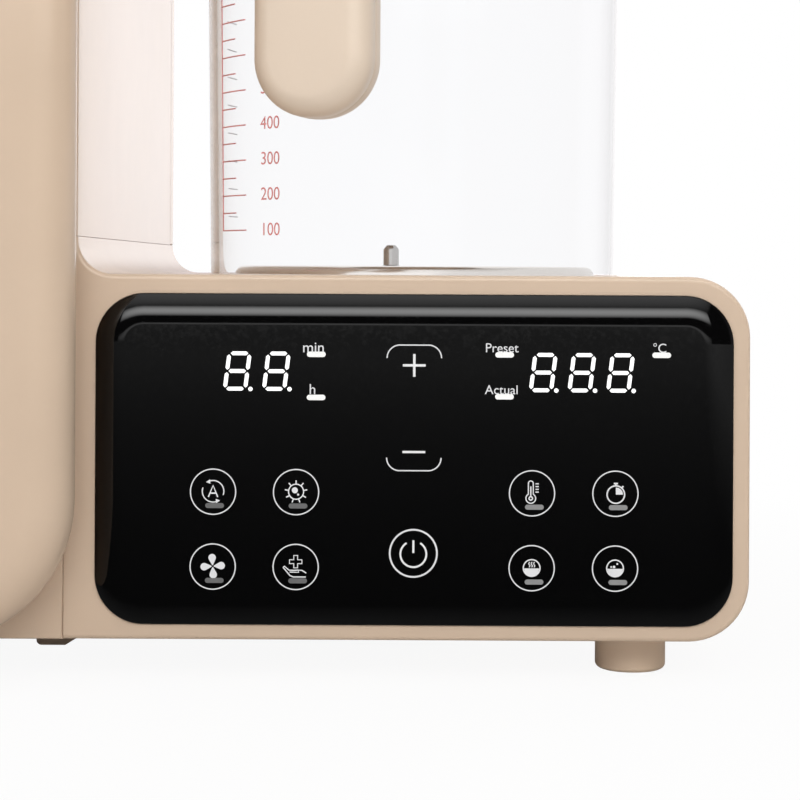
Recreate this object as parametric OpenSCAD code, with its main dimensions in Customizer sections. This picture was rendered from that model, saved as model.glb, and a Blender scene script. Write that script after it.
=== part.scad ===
// Bottle sterilizer cabinet with a kettle base at its right side and a glass kettle on it.
// Millimetres, +Z up, front towards -Y, origin at the middle of the footprint on the table.

/* [Cabinet] */
// Width of the cabinet, from its left side to the seam with the base
cabinet_w = 250; // [235:1:300]
// Height of the cabinet above its feet
cabinet_h = 315; // [300:1:360]
// Depth of the cabinet and of the base
body_d = 196; // [185:1:240]
// Wall thickness of the moulded housings
wall = 3; // [2.5:0.1:3.6]
// Radius of the upper cabinet corners
cabinet_r = 30; // [16:1:36]
// Radius of the lower outside corners of cabinet and base
lower_r = 15; // [10:1:18]
// Thickness of the front frame round the chamber mouth
frame_t = 10; // [8:0.5:14]
// Depth of the back cover
back_t = 8; // [7:0.5:12]
// Height of the feet
foot_h = 10; // [7:1:16]

/* [Chamber] */
// Width of the frame stile beside the chamber mouth
mouth_side = 24; // [22:1:30]
// Width of the frame rail above the chamber mouth
mouth_top = 23; // [20:1:40]
// Height of the chamber floor above the underside
mouth_sill = 36; // [34:1:60]
// Corner radius of the chamber mouth
mouth_r = 12; // [6:1:20]
// Sheet thickness of the chamber liner
sheet = 1; // [0.6:0.1:1.6]
// Width of the liner flange that seats behind the front frame
liner_flange = 7; // [4:0.5:9]
// Height of the upper rack above the chamber floor
rack_rise = 104; // [80:1:130]
// Wire radius of the rack frames
rack_wire = 1.6; // [1.2:0.1:2.2]
// Spacing of the rack bars
rack_pitch = 19; // [14:1:28]
// Radius of the lamp tubes
lamp_r = 7.5; // [5:0.5:9]
// Distance from the chamber ceiling to the lamp axis
lamp_drop = 13; // [12:0.5:20]

/* [Drying fan] */
// Width of the square fan frame
fan_w = 80; // [60:1:92]
// Depth of the fan frame
fan_t = 25; // [22:1:32]
// Depth of the air heater between fan and chamber
heater_t = 11; // [8:0.5:16]
// Height of the fan axis above the chamber floor
fan_rise = 74; // [60:1:110]
// Number of impeller blades
blade_n = 7; // [5:1:11]

/* [Door] */
// Thickness of the door
door_t = 20; // [18:0.5:24]
// Gap between the door and the front frame
door_gap = 1; // [0.8:0.1:2]
// Corner radius of the door
door_r = 35; // [28:1:45]
// Overhang of the door past the right cabinet wall
door_over = 1.4; // [0:0.1:3]
// Margin of the door inside the cabinet height
door_reveal = 0.8; // [0.4:0.1:3]
// Width of the door window
window_w = 150; // [100:1:170]
// Height of the door window
window_h = 190; // [120:1:220]
// Corner radius of the door window
window_r = 24; // [10:1:40]
// Thickness of the window panes
pane_t = 2.5; // [2:0.1:3]
// Radius of the hinge pins
hinge_pin_r = 2.5; // [2:0.1:3]
// Height of the hinge ears
ear_h = 12; // [9:0.5:16]

/* [Base] */
// Width of the base front at each side of the panel
panel_side = 4.6; // [3:0.1:12]
// Height of the base front above and below the panel
panel_band = 4.45; // [3:0.05:10]
// Radius of the upper right corner of the base
base_r = 15; // [8:1:20]
// Thickness of the flange that laps the cabinet side
flange_t = 3.2; // [2.4:0.1:4]
// Height of the flange above the base top
flange_rise = 9.4; // [9.3:0.1:16]
// Radius of the hollow between flange and base top
flange_r = 8.8; // [5:0.1:9.2]
// Thickness of the front wall of the base
front_wall = 4; // [3.6:0.1:5]
// Depth of the kettle well
well_depth = 24; // [18:0.5:28]
// Radius of the round base feet
base_foot_r = 9; // [6:0.5:12]

/* [Control panel] */
// Width of the panel
panel_w = 157.6; // [140:0.2:180]
// Height of the panel
panel_h = 81.6; // [74:0.2:96]
// Corner radius of the panel
panel_r = 12; // [9:0.5:16]
// Height that the panel stands proud of the base front
panel_proud = 3.4; // [2.8:0.1:5]
// Depth of the recess that the panel seats in
panel_seat = 2; // [1:0.1:2.4]
// Width of the curved rim of the panel
panel_rim = 7.5; // [5:0.5:8.5]
// Radius of the curved rim of the panel
panel_rim_r = 12; // [10:0.5:16]

/* [Kettle] */
// Outer radius of the glass at its foot
glass_r = 60; // [52:0.5:62]
// Growth of the glass radius up to its mouth
glass_flare = 2; // [0:0.1:3]
// Height of the glass jar
glass_h = 155; // [120:1:170]
// Wall thickness of the glass
glass_t = 2.8; // [2.2:0.1:3.4]
// Gap between the kettle bottom and the wall of its well
well_gap = 1.5; // [1:0.1:3]
// Height of the heating plate above the base top
plate_rise = 2.4; // [1.6:0.1:4]
// Width of the gutter between heating plate and glass
plate_gutter = 4.2; // [3.4:0.1:6]
// Radius of the temperature probe
probe_r = 2.4; // [1.5:0.1:3]
// Height of the temperature probe above the heating plate
probe_h = 6.5; // [4:0.5:12]
// Height of the collar above the glass
collar_rise = 13.5; // [11:0.5:20]
// Depth that the collar laps over the glass
collar_lap = 12.5; // [8:0.5:20]
// Width of the handle
handle_w = 30.6; // [24:0.2:36]
// Thickness of the handle
handle_t = 17; // [14:0.5:22]
// Gap between the glass mouth and the handle
handle_gap = 25; // [22:0.5:32]
// Height of the lower handle end above the base top
handle_foot = 39.1; // [20:0.1:60]
// Turn of the kettle on its base, seen from above
kettle_turn = -14.9; // [-30:0.1:60]

/* [Fits] */
// Running clearance of pins in their bores
run_fit = 0.05; // [0.03:0.01:0.1]
// Clearance of a seated insert in its recess
seat_fit = 0.2; // [0.1:0.05:0.3]
// Clearance between parts of different moving bodies
free_fit = 0.3; // [0.25:0.05:0.5]
// Radius of a screw shank
screw_r = 1.5; // [1.2:0.1:1.8]
// Radius of a screw head
screw_head_r = 3; // [2.6:0.1:3.4]
// Height of a screw head
screw_head_h = 2; // [1.5:0.1:2]

/* [Hidden] */
$fn = 96;

beige = "#d8c2aa";
white = "#f3efe8";
black = "#101113";
steel = "#b9bcc0";
clear = [0.85, 0.92, 0.95, 0.35];
board_green = "#2e6b45";
eps = 0.5;
rest_gap = 0.05;

// Main planes of cabinet and base
base_w = flange_t + panel_w + 2 * panel_side;
base_h = panel_h + 2 * panel_band;
x_left = -(cabinet_w + base_w) / 2;
x_right = (cabinet_w + base_w) / 2;
x_seam = x_left + cabinet_w;
x_wall = x_seam + flange_t;
y_back = (body_d + door_gap + door_t) / 2;
y_face = y_back - body_d;
z_under = foot_h;
z_top = z_under + cabinet_h;
z_base = z_under + base_h;
z_flange = z_base + flange_rise;

// Chamber
mouth_x0 = x_left + mouth_side;
mouth_x1 = x_wall - mouth_side;
mouth_z0 = z_under + mouth_sill;
mouth_z1 = z_top - mouth_top;
mouth_w = mouth_x1 - mouth_x0;
mouth_h = mouth_z1 - mouth_z0;
mouth_x = (mouth_x0 + mouth_x1) / 2;
y_liner = y_face + frame_t;
y_bay = y_back - back_t - fan_t - heater_t;
y_fan = y_bay + heater_t;
y_cover = y_back - back_t;
chamber_d = y_bay - sheet - y_liner;
seal_off = 2.5;
seal_w = 5;
seal_depth = 2;
rail_w = 6;
rail_h = 3;
rack_z = mouth_z0 + rack_rise;
rack_margin = 1.5;
rack_in = 6;
rack_bar = 1.1;
rack_foot_h = 8;
lamp_span = mouth_w - 36;
lamp_z = mouth_z1 - lamp_drop;
lamp_ys = [y_liner + chamber_d * 0.36, y_liner + chamber_d * 0.72];
holder_l = 12;
holder_w = 2 * lamp_r + 6;
holder_grip = 8;

// Fan, filter and back cover
fan_z = mouth_z0 + fan_rise;
fan_wall = 2;
duct_r = fan_w / 2 - fan_wall;
hub_r = 16;
motor_h = 7;
strut_w = 4;
shaft_r = 1.5;
blade_gap = 1.2;
blade_t = 1.6;
blade_depth = fan_t - motor_h - 4;
blade_pitch = 35;
filter_w = fan_w + 4;
filter_grid = 2;
gland_r = 6;
gland_bore = 3.6;
gland_x = x_left + 32;
gland_z = z_under + 20;

// Door
door_x0 = x_left;
door_x1 = x_wall + door_over;
door_z0 = z_under + door_reveal;
door_z1 = z_top - door_reveal;
door_w = door_x1 - door_x0;
door_h = door_z1 - door_z0;
door_x = (door_x0 + door_x1) / 2;
door_z = (door_z0 + door_z1) / 2;
y_door = y_face - door_gap;
hinge_x = x_left + door_t / 2;
hinge_y = y_door - door_t / 2;
ear_r = 9;
ear_web = 10;
notch_r = door_t / 2 + 1.5;
ear_lift = 0.6;
ear_low = z_under + corner_drop(lower_r, door_t / 2 - ear_web / 2) + ear_lift;
ear_high = z_top - corner_drop(cabinet_r, door_t / 2 - ear_web / 2) - ear_lift - ear_h;
pin_reach = 12;
pin_root = 2;
door_skin = pane_t + 2.5;
door_stile = 26;
door_rail = 26;
door_pocket_r = 14;
pane_lip = 6;
inner_panel_t = 4;
inner_pane_t = 2;
post_r = 4;
post_inset = 9;
magnet_r = 3.2;
magnet_h = 4;
magnet_x = door_x1 - door_t / 2 - magnet_r - 0.4;
magnet_zs = [door_z - 0.287 * door_h, door_z + 0.287 * door_h];
strike_h = 24;
strike_t = 1.2;
scoop_z = door_z + 0.198 * door_h;
scoop_h = 60;
scoop_r = 11;

// Base
base_x = (x_wall + x_right) / 2;
kettle_x = base_x;
kettle_y = y_face + body_d / 2;
well_r = glass_r + well_gap;
z_well = z_base - well_depth;
panel_x = base_x + 0.2;
panel_z = z_under + base_h / 2 - 0.4;
panel_t = panel_seat + panel_proud;
opening_w = panel_w - 22;
opening_h = panel_h - 21;
board_gap = 4;
board_t = 1.6;
touch_w = panel_w - 8;
touch_h = panel_h - 10;
y_touch = y_face + front_wall + board_gap;
display_gap = 0.5;
time_at = on_panel([-0.2475, 0.2647]);
temperature_at = on_panel([0.2665, 0.261]);
time_size = on_panel([0.1713, 0.1716]);
temperature_size = on_panel([0.2094, 0.1716]);
key_at = [for (p = [
    [-0.3173, -0.0907], [-0.1859, -0.0931], [-0.3173, -0.3174], [-0.1859, -0.3199],
    [0.1846, -0.098], [0.3173, -0.1017], [0.184, -0.326], [0.3173, -0.3284],
    [0, 0.288], [0, 0.0319], [-0.0013, -0.2806]
]) on_panel(p)];
spring_r = 3;
boss_r = 4;
boss_in = 6;
boss_h = panel_z - touch_h / 2 - free_fit - z_under - wall;
bottom_screw_l = wall + boss_h - 0.5;
cover_x0 = x_seam + wall + seat_fit;
cover_x1 = x_right - lower_r - seat_fit;
base_screw_at = [
    [x_seam + boss_in, y_face + front_wall + 8], [x_seam + boss_in, y_back - wall - 8],
    [base_x, y_face + front_wall + 3], [base_x, y_back - wall - 3]
];
base_foot_x = x_right - lower_r - base_foot_r - 3.4;
base_foot_in = 20;
cup_rim_w = 5;
cup_rim_t = 2;
connector_r = 10;
connector_h = 13.5;
connector_flange = 6;
connector_tail = 8;

// Boards and wiring in the cabinet floor
board_w = 120;
board_d = 80;
transformer_at = [-0.4 * board_w, -0.25 * board_d];
transformer_size = [30, 26, 18];
relay_at = [-0.05 * board_w, -0.325 * board_d];
relay_size = [19, 15, 15];
sink_at = [-0.333 * board_w, 0.225 * board_d];
sink_size = [44, 8, 19];
capacitor_at = [0.275 * board_w, 0.225 * board_d];
capacitor_pitch_w = 18;
capacitor_r = 6;
capacitor_h = 19;
standoff_r = 3;
standoff_in = 6;
board_lift = 6;
board_x = (x_left + x_seam) / 2;
board_y = y_face + frame_t + 80;
board_z = z_under + wall + board_lift;
plug_w = 12;
plug_d = 9;
plug_h = 9;
harness_r = 3;
harness_bend = 10;
harness_z = board_z + board_t + plug_h / 2;
harness_x = x_seam + wall + 24;
harness_y = board_y - board_d / 2 + 12;
harness_hole = harness_r + 2;
join_at = [
    [y_face + frame_t + 18, z_under + 14], [y_cover - 18, z_under + 14],
    [y_face + frame_t + 18, z_base - 18], [y_cover - 18, z_base - 18]
];
join_boss_h = 6;
back_boss_in = 7.5;
back_boss_r = 5;
back_boss_l = 20;
back_screw_at = [
    [x_left + back_boss_in, z_under + 45], [x_left + back_boss_in, z_top - 48],
    [x_wall - back_boss_in, z_top - 48], [x_seam - back_boss_in, z_under + 45]
];
back_screw_l = 18;
skid_w = 13.6;
skid_slope = 5.8;
skid_rise = 3.6;
skid_edge = 0.8;
skid_l = 24;
skid_in = 45;

// Kettle
glass_z0 = z_base - 1;
glass_z1 = glass_z0 + glass_h;
glass_in = glass_r - glass_t;
plate_r = glass_in - plate_gutter;
plate_t = 1.2;
plate_edge_r = 2.8;
plate_z = z_base + plate_rise;
plate_foot = glass_z0 - 1.5;
ledge_w = 3.4;
bottom_floor = 3;
bottom_chamfer = 3;
bottom_wall = glass_t;
socket_r = 20;
socket_lip = 3;
socket_top = z_well + connector_h + free_fit + 2.5;
element_r0 = 26;
element_r1 = 45;
element_h = 7;
probe_at = [-12.1, 17.5];
probe_root = 5;
seal_h = 1.5;
mouth_lip = 6;
collar_wall = 3.6;
collar_z0 = glass_z1 - collar_lap;
collar_z1 = glass_z1 + collar_rise;
collar_in = glass_r + glass_flare + 0.3;
collar_out = collar_in + collar_wall;
neck_r = collar_in - glass_t - 0.3 - mouth_lip;
spout_reach = collar_out + 13;
spout_w = 30;
spout_tip = 9;
spout_wall = 2.5;
lug_w = 24;
lug_h = 18;
lug_z = collar_z1 - 5 - lug_h;
handle_r0 = glass_r + glass_flare + handle_gap;
handle_split = handle_r0 + handle_t / 2;
handle_z0 = z_base + handle_foot;
handle_z1 = collar_z1 + 3;
handle_corner = handle_w / 2 - 0.5;
handle_edge_r = 5.5;
handle_l = handle_z1 - handle_z0;
grip_screw_zs = [handle_z0 + 0.167 * handle_l, handle_z0 + 0.637 * handle_l];
grip_screw_l = handle_t - 3;
lug_screw_l = handle_t / 2 + 8;
lug_screw_zs = [lug_z + 4.5, lug_z + lug_h - 4.5];
lid_r = collar_out - 3.5;
lid_t = 7;
lid_edge = 3;
lid_skirt = 9;
lid_skirt_t = 2.5;
lid_ring = 1.3;
knob_r = 17;
knob_stem = 8;
knob_h = 24;
lid_screw_l = 14;

// Height lost to a corner of radius r at distance x from the side
function corner_drop(r, x) = x >= r ? 0 : r - sqrt(r * r - (r - x) * (r - x));

// Place on the panel, given as shares of its width and height
function on_panel(p) = [p.x * panel_w, p.y * panel_h];

// Flat rectangle from corner a to corner b; radii run from lower left anticlockwise
module corner_rect(a, b, radii) {
    corners = [[a.x, a.y, 1, 1], [b.x, a.y, -1, 1], [b.x, b.y, -1, -1], [a.x, b.y, 1, -1]];
    polygon([for (i = [0:3]) each corner_points(corners[i], radii[i], i % 2 == 1)]);
    for (i = [0:3])
        if (radii[i] > 0)
            translate([corners[i][0] + corners[i][2] * radii[i], corners[i][1] + corners[i][3] * radii[i]])
                circle(radii[i]);
}

function corner_points(c, r, level_first) =
    r <= 0 ? [[c[0], c[1]]]
    : level_first ? [[c[0] + c[2] * r, c[1]], [c[0], c[1] + c[3] * r]]
    : [[c[0], c[1] + c[3] * r], [c[0] + c[2] * r, c[1]]];

module even_rect(mid, size, r)
    corner_rect([mid.x - size.x / 2, mid.y - size.y / 2], [mid.x + size.x / 2, mid.y + size.y / 2],
        [r, r, r, r]);

// Outline drawn in X and Z, extruded from y0 towards the back
module along_y(y0, d) translate([0, y0 + d, 0]) rotate([90, 0, 0]) linear_extrude(d) children();

// Outline drawn in Y and Z, extruded from x0 to the right
module along_x(x0, d) translate([x0, 0, 0]) rotate([90, 0, 90]) linear_extrude(d) children();

module rod_y(r, x, z, y0, y1) translate([x, y0, z]) rotate([-90, 0, 0]) cylinder(r = r, h = y1 - y0);

module rod_x(r, y, z, x0, x1) translate([x0, y, z]) rotate([0, 90, 0]) cylinder(r = r, h = x1 - x0);

// Plate with rounded corners; the children are its edge section, drawn out from the corner centre
module edged_plate(w, h, t, r) {
    translate([r - w / 2, r - h / 2, 0]) cube([w - 2 * r, h - 2 * r, t]);
    for (i = [0:3]) {
        run = (i % 2 == 0 ? h : w) - 2 * r;
        out = (i % 2 == 0 ? w : h) / 2 - r;
        side_x = (i == 0 || i == 3) ? 1 : -1;
        side_y = i < 2 ? 1 : -1;
        rotate(90 * i) translate([out, run / 2, 0]) rotate([90, 0, 0]) linear_extrude(run) children();
        translate([side_x * (w / 2 - r), side_y * (h / 2 - r), 0])
            rotate(90 * i) rotate_extrude(angle = 90) children();
    }
}

// Edge section with a full round
module full_round(t, r) {
    square([r - t / 2, t]);
    translate([r - t / 2, t / 2]) circle(t / 2);
}

// Edge section with one rounded upper corner
module one_round(t, r, edge) intersection() {
    square([r, t]);
    union() {
        square([r - edge, t]);
        square([r, t - edge]);
        translate([r - edge, t - edge]) circle(edge);
    }
}

// Edge section that falls away along a shallow arc
module crowned(t, r, rim, rim_r) intersection() {
    square([r, t]);
    union() {
        square([r - rim, t]);
        translate([r - rim, t - rim_r]) circle(rim_r);
    }
}

// Screw with its head at the origin, pointing along +Z
module screw(l) {
    cylinder(r = screw_head_r, h = screw_head_h);
    cylinder(r = screw_r, h = l);
}

// Room for a sunk screw
module screw_room(l) {
    translate([0, 0, -eps]) cylinder(r = screw_head_r + seat_fit, h = screw_head_h + eps);
    cylinder(r = screw_r + run_fit, h = l + eps);
}

module cabinet_outline(inset = 0) difference() {
    corner_rect([x_left + inset, z_under + inset], [x_wall - inset, z_top - inset],
        [lower_r - inset, 0, cabinet_r - inset, cabinet_r - inset]);
    translate([x_seam - inset, z_under - eps])
        square([flange_t + inset + eps, z_flange - z_under + inset + eps]);
}

module mouth_outline(grow = 0)
    corner_rect([mouth_x0 - grow, mouth_z0 - grow], [mouth_x1 + grow, mouth_z1 + grow],
        [for (i = [0:3]) mouth_r + grow]);

module seal_outline(grow = 0) difference() {
    mouth_outline(seal_off + seal_w + grow);
    mouth_outline(seal_off - grow);
}

module at_back_screws() for (p = back_screw_at) translate([p.x, y_back, p.y]) rotate([90, 0, 0]) children();

module at_join_screws()
    for (p = join_at) translate([x_seam + wall + screw_head_h, p.x, p.y]) rotate([0, -90, 0]) children();

module hinge_ears() for (z = [ear_low, ear_high]) translate([hinge_x, hinge_y, z]) {
    cylinder(r = ear_r, h = ear_h);
    translate([-ear_web / 2, 0, 0]) cube([ear_web, y_face - hinge_y + eps, ear_h]);
}

module front_frame() color(beige) difference() {
    union() {
        along_y(y_face, frame_t) difference() {
            cabinet_outline();
            mouth_outline();
        }
        hinge_ears();
    }
    along_y(y_face - eps, seal_depth + eps) seal_outline(seat_fit / 2);
    for (z = magnet_zs) translate([magnet_x, y_face, z])
        cube([2 * magnet_r + seat_fit, 2 * strike_t, strike_h + seat_fit], center = true);
    translate([hinge_x, hinge_y, ear_low + pin_root]) cylinder(r = hinge_pin_r + 0.02, h = ear_h);
    translate([hinge_x, hinge_y, ear_high - pin_root]) cylinder(r = hinge_pin_r + 0.02, h = ear_h);
}

module cabinet_shell() color(beige) difference() {
    union() {
        along_y(y_liner, y_cover - y_liner) difference() {
            cabinet_outline();
            cabinet_outline(wall);
        }
        for (p = back_screw_at) rod_y(back_boss_r, p.x, p.y, y_cover - back_boss_l, y_cover);
        for (p = join_at) rod_x(boss_r, p.x, p.y, x_seam - wall - join_boss_h, x_seam - wall / 2);
    }
    at_back_screws() screw_room(back_screw_l);
    at_join_screws() screw_room(screw_head_h + 2 * wall + join_boss_h);
    rod_x(harness_hole, harness_y, harness_z, x_seam - wall - eps, x_seam + eps);
}

module filter_grid_outline(w, n) {
    cell = (w - (n + 1) * wall) / n;
    difference() {
        translate([mouth_x - w / 2, fan_z - w / 2]) square(w);
        for (i = [0:n - 1], j = [0:n - 1])
            translate([mouth_x - w / 2 + wall + i * (cell + wall), fan_z - w / 2 + wall + j * (cell + wall)])
                square(cell);
    }
}

module back_cover() color(beige) difference() {
    union() {
        along_y(y_cover, back_t) difference() {
            cabinet_outline();
            cabinet_outline(wall);
        }
        along_y(y_back - wall, wall) cabinet_outline();
        along_y(y_cover, back_t) translate([mouth_x - filter_w / 2 - wall, fan_z - filter_w / 2 - wall])
            square(filter_w + 2 * wall);
        for (p = back_screw_at) rod_y(back_boss_r, p.x, p.y, y_cover, y_back);
    }
    along_y(y_cover + filter_grid, back_t) translate([mouth_x - filter_w / 2, fan_z - filter_w / 2])
        square(filter_w);
    along_y(y_cover - eps, back_t) difference() {
        translate([mouth_x - filter_w / 2, fan_z - filter_w / 2]) square(filter_w);
        filter_grid_outline(filter_w, 4);
    }
    at_back_screws() screw_room(back_screw_l);
    rod_y(gland_r + seat_fit, gland_x, gland_z, y_cover, y_back + eps);
    for (i = [-4:4]) along_y(y_back - wall - eps, wall + 2 * eps)
        even_rect([mouth_x + i * 11, z_top - 70], [4.5, 44], 2.2);
}

module chamber_liner() color(steel) difference() {
    union() {
        along_y(y_liner, sheet) mouth_outline(liner_flange);
        along_y(y_liner, y_bay - y_liner) mouth_outline(sheet);
    }
    along_y(y_liner - eps, chamber_d + eps) mouth_outline();
    for (i = [-3:3]) along_y(y_bay - sheet - eps, sheet + 2 * eps)
        even_rect([mouth_x + i * 8, fan_z], [4, 50], 1.9);
    for (i = [-4:4]) along_y(y_bay - sheet - eps, sheet + 2 * eps)
        even_rect([mouth_x + i * 11, mouth_z1 - 50], [4.5, 26], 2.2);
}

module rack_rails() color(steel)
    for (x = [mouth_x0, mouth_x1 - rail_w])
        translate([x, y_liner + 8, rack_z - rail_h]) cube([rail_w, chamber_d - 16, rail_h]);

// Wire rack with its lowest wire at the origin height
module wire_rack() {
    half_w = mouth_w / 2 - rack_margin;
    y0 = y_liner + rack_in;
    y1 = y_liner + chamber_d - rack_in;
    bars = floor((half_w - rack_pitch / 2) / rack_pitch);
    translate([mouth_x, 0, rack_wire]) {
        for (y = [y0, y1]) rod_x(rack_wire, y, 0, -half_w, half_w);
        for (s = [-1, 1]) rod_y(rack_wire - 0.2, s * (half_w - rack_wire), 0, y0, y1);
        for (i = [-bars:bars]) rod_y(rack_bar, i * rack_pitch, rack_wire - 0.3, y0, y1);
    }
}

module lower_rack() color(steel) translate([0, 0, mouth_z0 + rack_foot_h]) {
    wire_rack();
    for (s = [-1, 1], y = [y_liner + rack_in, y_liner + chamber_d - rack_in])
        translate([mouth_x + s * (mouth_w / 2 - mouth_r - rack_in), y, rest_gap - rack_foot_h])
            cylinder(r = rack_wire + 0.3, h = rack_foot_h - rest_gap + rack_wire);
}

module upper_rack() color(steel) translate([0, 0, rack_z + free_fit]) wire_rack();

module uv_lamp_tubes() color(clear)
    for (y = lamp_ys) rod_x(lamp_r, y, lamp_z, mouth_x - lamp_span / 2, mouth_x + lamp_span / 2);

module lamp_holders() color(white)
    for (y = lamp_ys, s = [-1, 1]) {
        inner = mouth_x + s * (lamp_span / 2 - holder_grip);
        difference() {
            translate([s > 0 ? inner : inner - holder_l, y - holder_w / 2, lamp_z - holder_w / 2])
                cube([holder_l, holder_w, mouth_z1 - lamp_z + holder_w / 2]);
            rod_x(lamp_r + run_fit, y, lamp_z, mouth_x - lamp_span / 2, mouth_x + lamp_span / 2);
        }
    }

module fan_frame() color(black) difference() {
    union() {
        along_y(y_fan, fan_t) difference() {
            even_rect([mouth_x, fan_z], [fan_w, fan_w], 4);
            translate([mouth_x, fan_z]) circle(duct_r);
        }
        rod_y(hub_r, mouth_x, fan_z, y_cover - motor_h, y_cover);
        for (a = [45:90:315]) translate([mouth_x, y_cover - strut_w, fan_z]) rotate([0, a, 0])
            translate([hub_r - 2, 0, -strut_w / 2]) cube([duct_r - hub_r + 3, strut_w - 1, strut_w]);
    }
    rod_y(shaft_r + run_fit, mouth_x, fan_z, y_cover - motor_h - eps, y_cover + eps);
}

module fan_impeller() color("#26282b") {
    y0 = y_fan + 2;
    rod_y(hub_r, mouth_x, fan_z, y0, y0 + blade_depth);
    rod_y(shaft_r, mouth_x, fan_z, y0 + blade_depth - eps, y_cover - 1);
    for (i = [0:blade_n - 1])
        translate([mouth_x, y0 + blade_depth / 2, fan_z]) rotate([0, i * 360 / blade_n, 0])
            translate([hub_r - 3, 0, 0]) rotate([blade_pitch, 0, 0])
                translate([0, -blade_depth * 0.4, -blade_t / 2])
                    cube([duct_r - blade_gap - hub_r + 1, blade_depth * 0.8, blade_t]);
}

module air_heater() color("#a9abae") difference() {
    along_y(y_bay, heater_t) even_rect([mouth_x, fan_z], [fan_w - 14, fan_w - 20], 1.5);
    for (i = [-4:4]) along_y(y_bay - eps, heater_t + 2 * eps)
        translate([mouth_x - fan_w / 2 + 12, fan_z + i * 6 - 2]) square([fan_w - 24, 4]);
}

module air_filter() color("#4a4d50") along_y(y_cover + filter_grid, back_t - filter_grid - wall - free_fit)
    even_rect([mouth_x, fan_z], [filter_w - 2 * seat_fit, filter_w - 2 * seat_fit], 1);

module filter_cover() color(beige) along_y(y_back - wall, wall) difference() {
    even_rect([mouth_x, fan_z], [filter_w - 2 * free_fit, filter_w - 2 * free_fit], 1);
    for (i = [-4:4]) even_rect([mouth_x + i * 8, fan_z], [4, filter_w - 20], 1.9);
}

module power_board() color(board_green)
    translate([board_x - board_w / 2, board_y - board_d / 2, board_z]) cube([board_w, board_d, board_t]);

module board_parts() color("#30343a") translate([board_x, board_y, board_z + board_t]) {
    translate(transformer_at) cube(transformer_size);
    translate(relay_at) cube(relay_size);
    translate(sink_at) cube(sink_size);
    for (s = [-1, 1]) translate([capacitor_at.x + s * capacitor_pitch_w / 2, capacitor_at.y, 0])
        cylinder(r = capacitor_r, h = capacitor_h);
    translate([board_w / 2 - plug_w, harness_y - board_y - plug_d / 2, 0]) cube([plug_w, plug_d, plug_h]);
}

module board_standoffs() color(white)
    for (sx = [-1, 1], sy = [-1, 1])
        translate([board_x + sx * (board_w / 2 - standoff_in), board_y + sy * (board_d / 2 - standoff_in), 0])
            translate([0, 0, z_under + wall]) cylinder(r = standoff_r, h = board_lift);

module cord_gland() color(black) difference() {
    union() {
        rod_y(gland_r, gland_x, gland_z, y_cover, y_back);
        rod_y(gland_r + 3, gland_x, gland_z, y_cover, y_back - wall);
    }
    rod_y(gland_bore, gland_x, gland_z, y_cover - eps, y_back + eps);
}

module strike_plates() color(steel)
    for (z = magnet_zs) translate([magnet_x - magnet_r, y_face, z - strike_h / 2])
        cube([2 * magnet_r, strike_t, strike_h]);

module door_sensor() color(white)
    translate([magnet_x - 4, y_liner, door_z - 10]) cube([8, 6, 20]);

module door_seal() color("#dcdad4")
    along_y(y_face - door_gap + free_fit, seal_depth + door_gap - free_fit) seal_outline();

module hinge_pins() color(steel) {
    translate([hinge_x, hinge_y, ear_low + pin_root])
        cylinder(r = hinge_pin_r, h = ear_h - pin_root + pin_reach);
    translate([hinge_x, hinge_y, ear_high - pin_reach])
        cylinder(r = hinge_pin_r, h = ear_h - pin_root + pin_reach);
}

// Skid foot with a sloped outer side; the outer edge is at x = 0
module skid() rotate([90, 0, 0]) translate([0, 0, -skid_l]) linear_extrude(skid_l)
    polygon([
        [0, foot_h], [-skid_w, foot_h], [-skid_w, skid_edge], [-skid_w + skid_edge, 0],
        [-skid_slope, 0], [0, skid_rise]
    ]);

module cabinet_feet() color("#b79a80")
    for (y = [y_face + skid_in, y_cover - skid_in]) {
        translate([x_seam - 1.4, y, 0]) skid();
        translate([x_left + lower_r + 0.5, y, 0]) mirror([1, 0, 0]) skid();
    }

module back_screws() color(steel) at_back_screws() screw(back_screw_l);

module joining_screws() color(steel) at_join_screws() screw(screw_head_h + 2 * wall + join_boss_h);

module in_door() translate([door_x, y_door, door_z]) rotate([90, 0, 0]) children();

module door_posts()
    for (sx = [-1, 1], sy = [-1, 1])
        translate([sx * (door_w / 2 - door_stile - post_inset), sy * (door_h / 2 - door_rail - post_inset)])
            children();

module door_shell() color(beige) difference() {
    in_door() difference() {
        edged_plate(door_w, door_h, door_t, door_r) full_round(door_t, door_r);
        difference() {
            translate([0, 0, -eps]) linear_extrude(door_t - door_skin + eps)
                even_rect([0, 0], [door_w - 2 * door_stile, door_h - 2 * door_rail], door_pocket_r);
            door_posts() translate([0, 0, inner_panel_t]) cylinder(r = post_r, h = door_t);
        }
        door_posts() screw_room(door_t - door_skin);
        translate([0, 0, -eps]) linear_extrude(door_t + 2 * eps) window_outline(0);
        translate([0, 0, door_t - pane_t]) linear_extrude(pane_t + eps) window_outline(pane_lip);
    }
    translate([hinge_x, hinge_y, z_under - eps])
        cylinder(r = notch_r, h = ear_low + ear_h + free_fit - z_under + eps);
    translate([hinge_x, hinge_y, ear_high - free_fit]) cylinder(r = notch_r, h = z_top - ear_high);
    translate([hinge_x, hinge_y, ear_low])
        cylinder(r = hinge_pin_r + run_fit, h = ear_h + pin_reach + free_fit);
    translate([hinge_x, hinge_y, ear_high - pin_reach - free_fit])
        cylinder(r = hinge_pin_r + run_fit, h = ear_h + pin_reach);
    for (z = magnet_zs) rod_y(magnet_r + run_fit, magnet_x, z, y_door - magnet_h, y_door + eps);
    translate([door_x1, y_door, scoop_z - scoop_h / 2]) cylinder(r = scoop_r, h = scoop_h);
}

module window_outline(grow) even_rect([0, 0], [window_w + 2 * grow, window_h + 2 * grow], window_r + grow);

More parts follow.
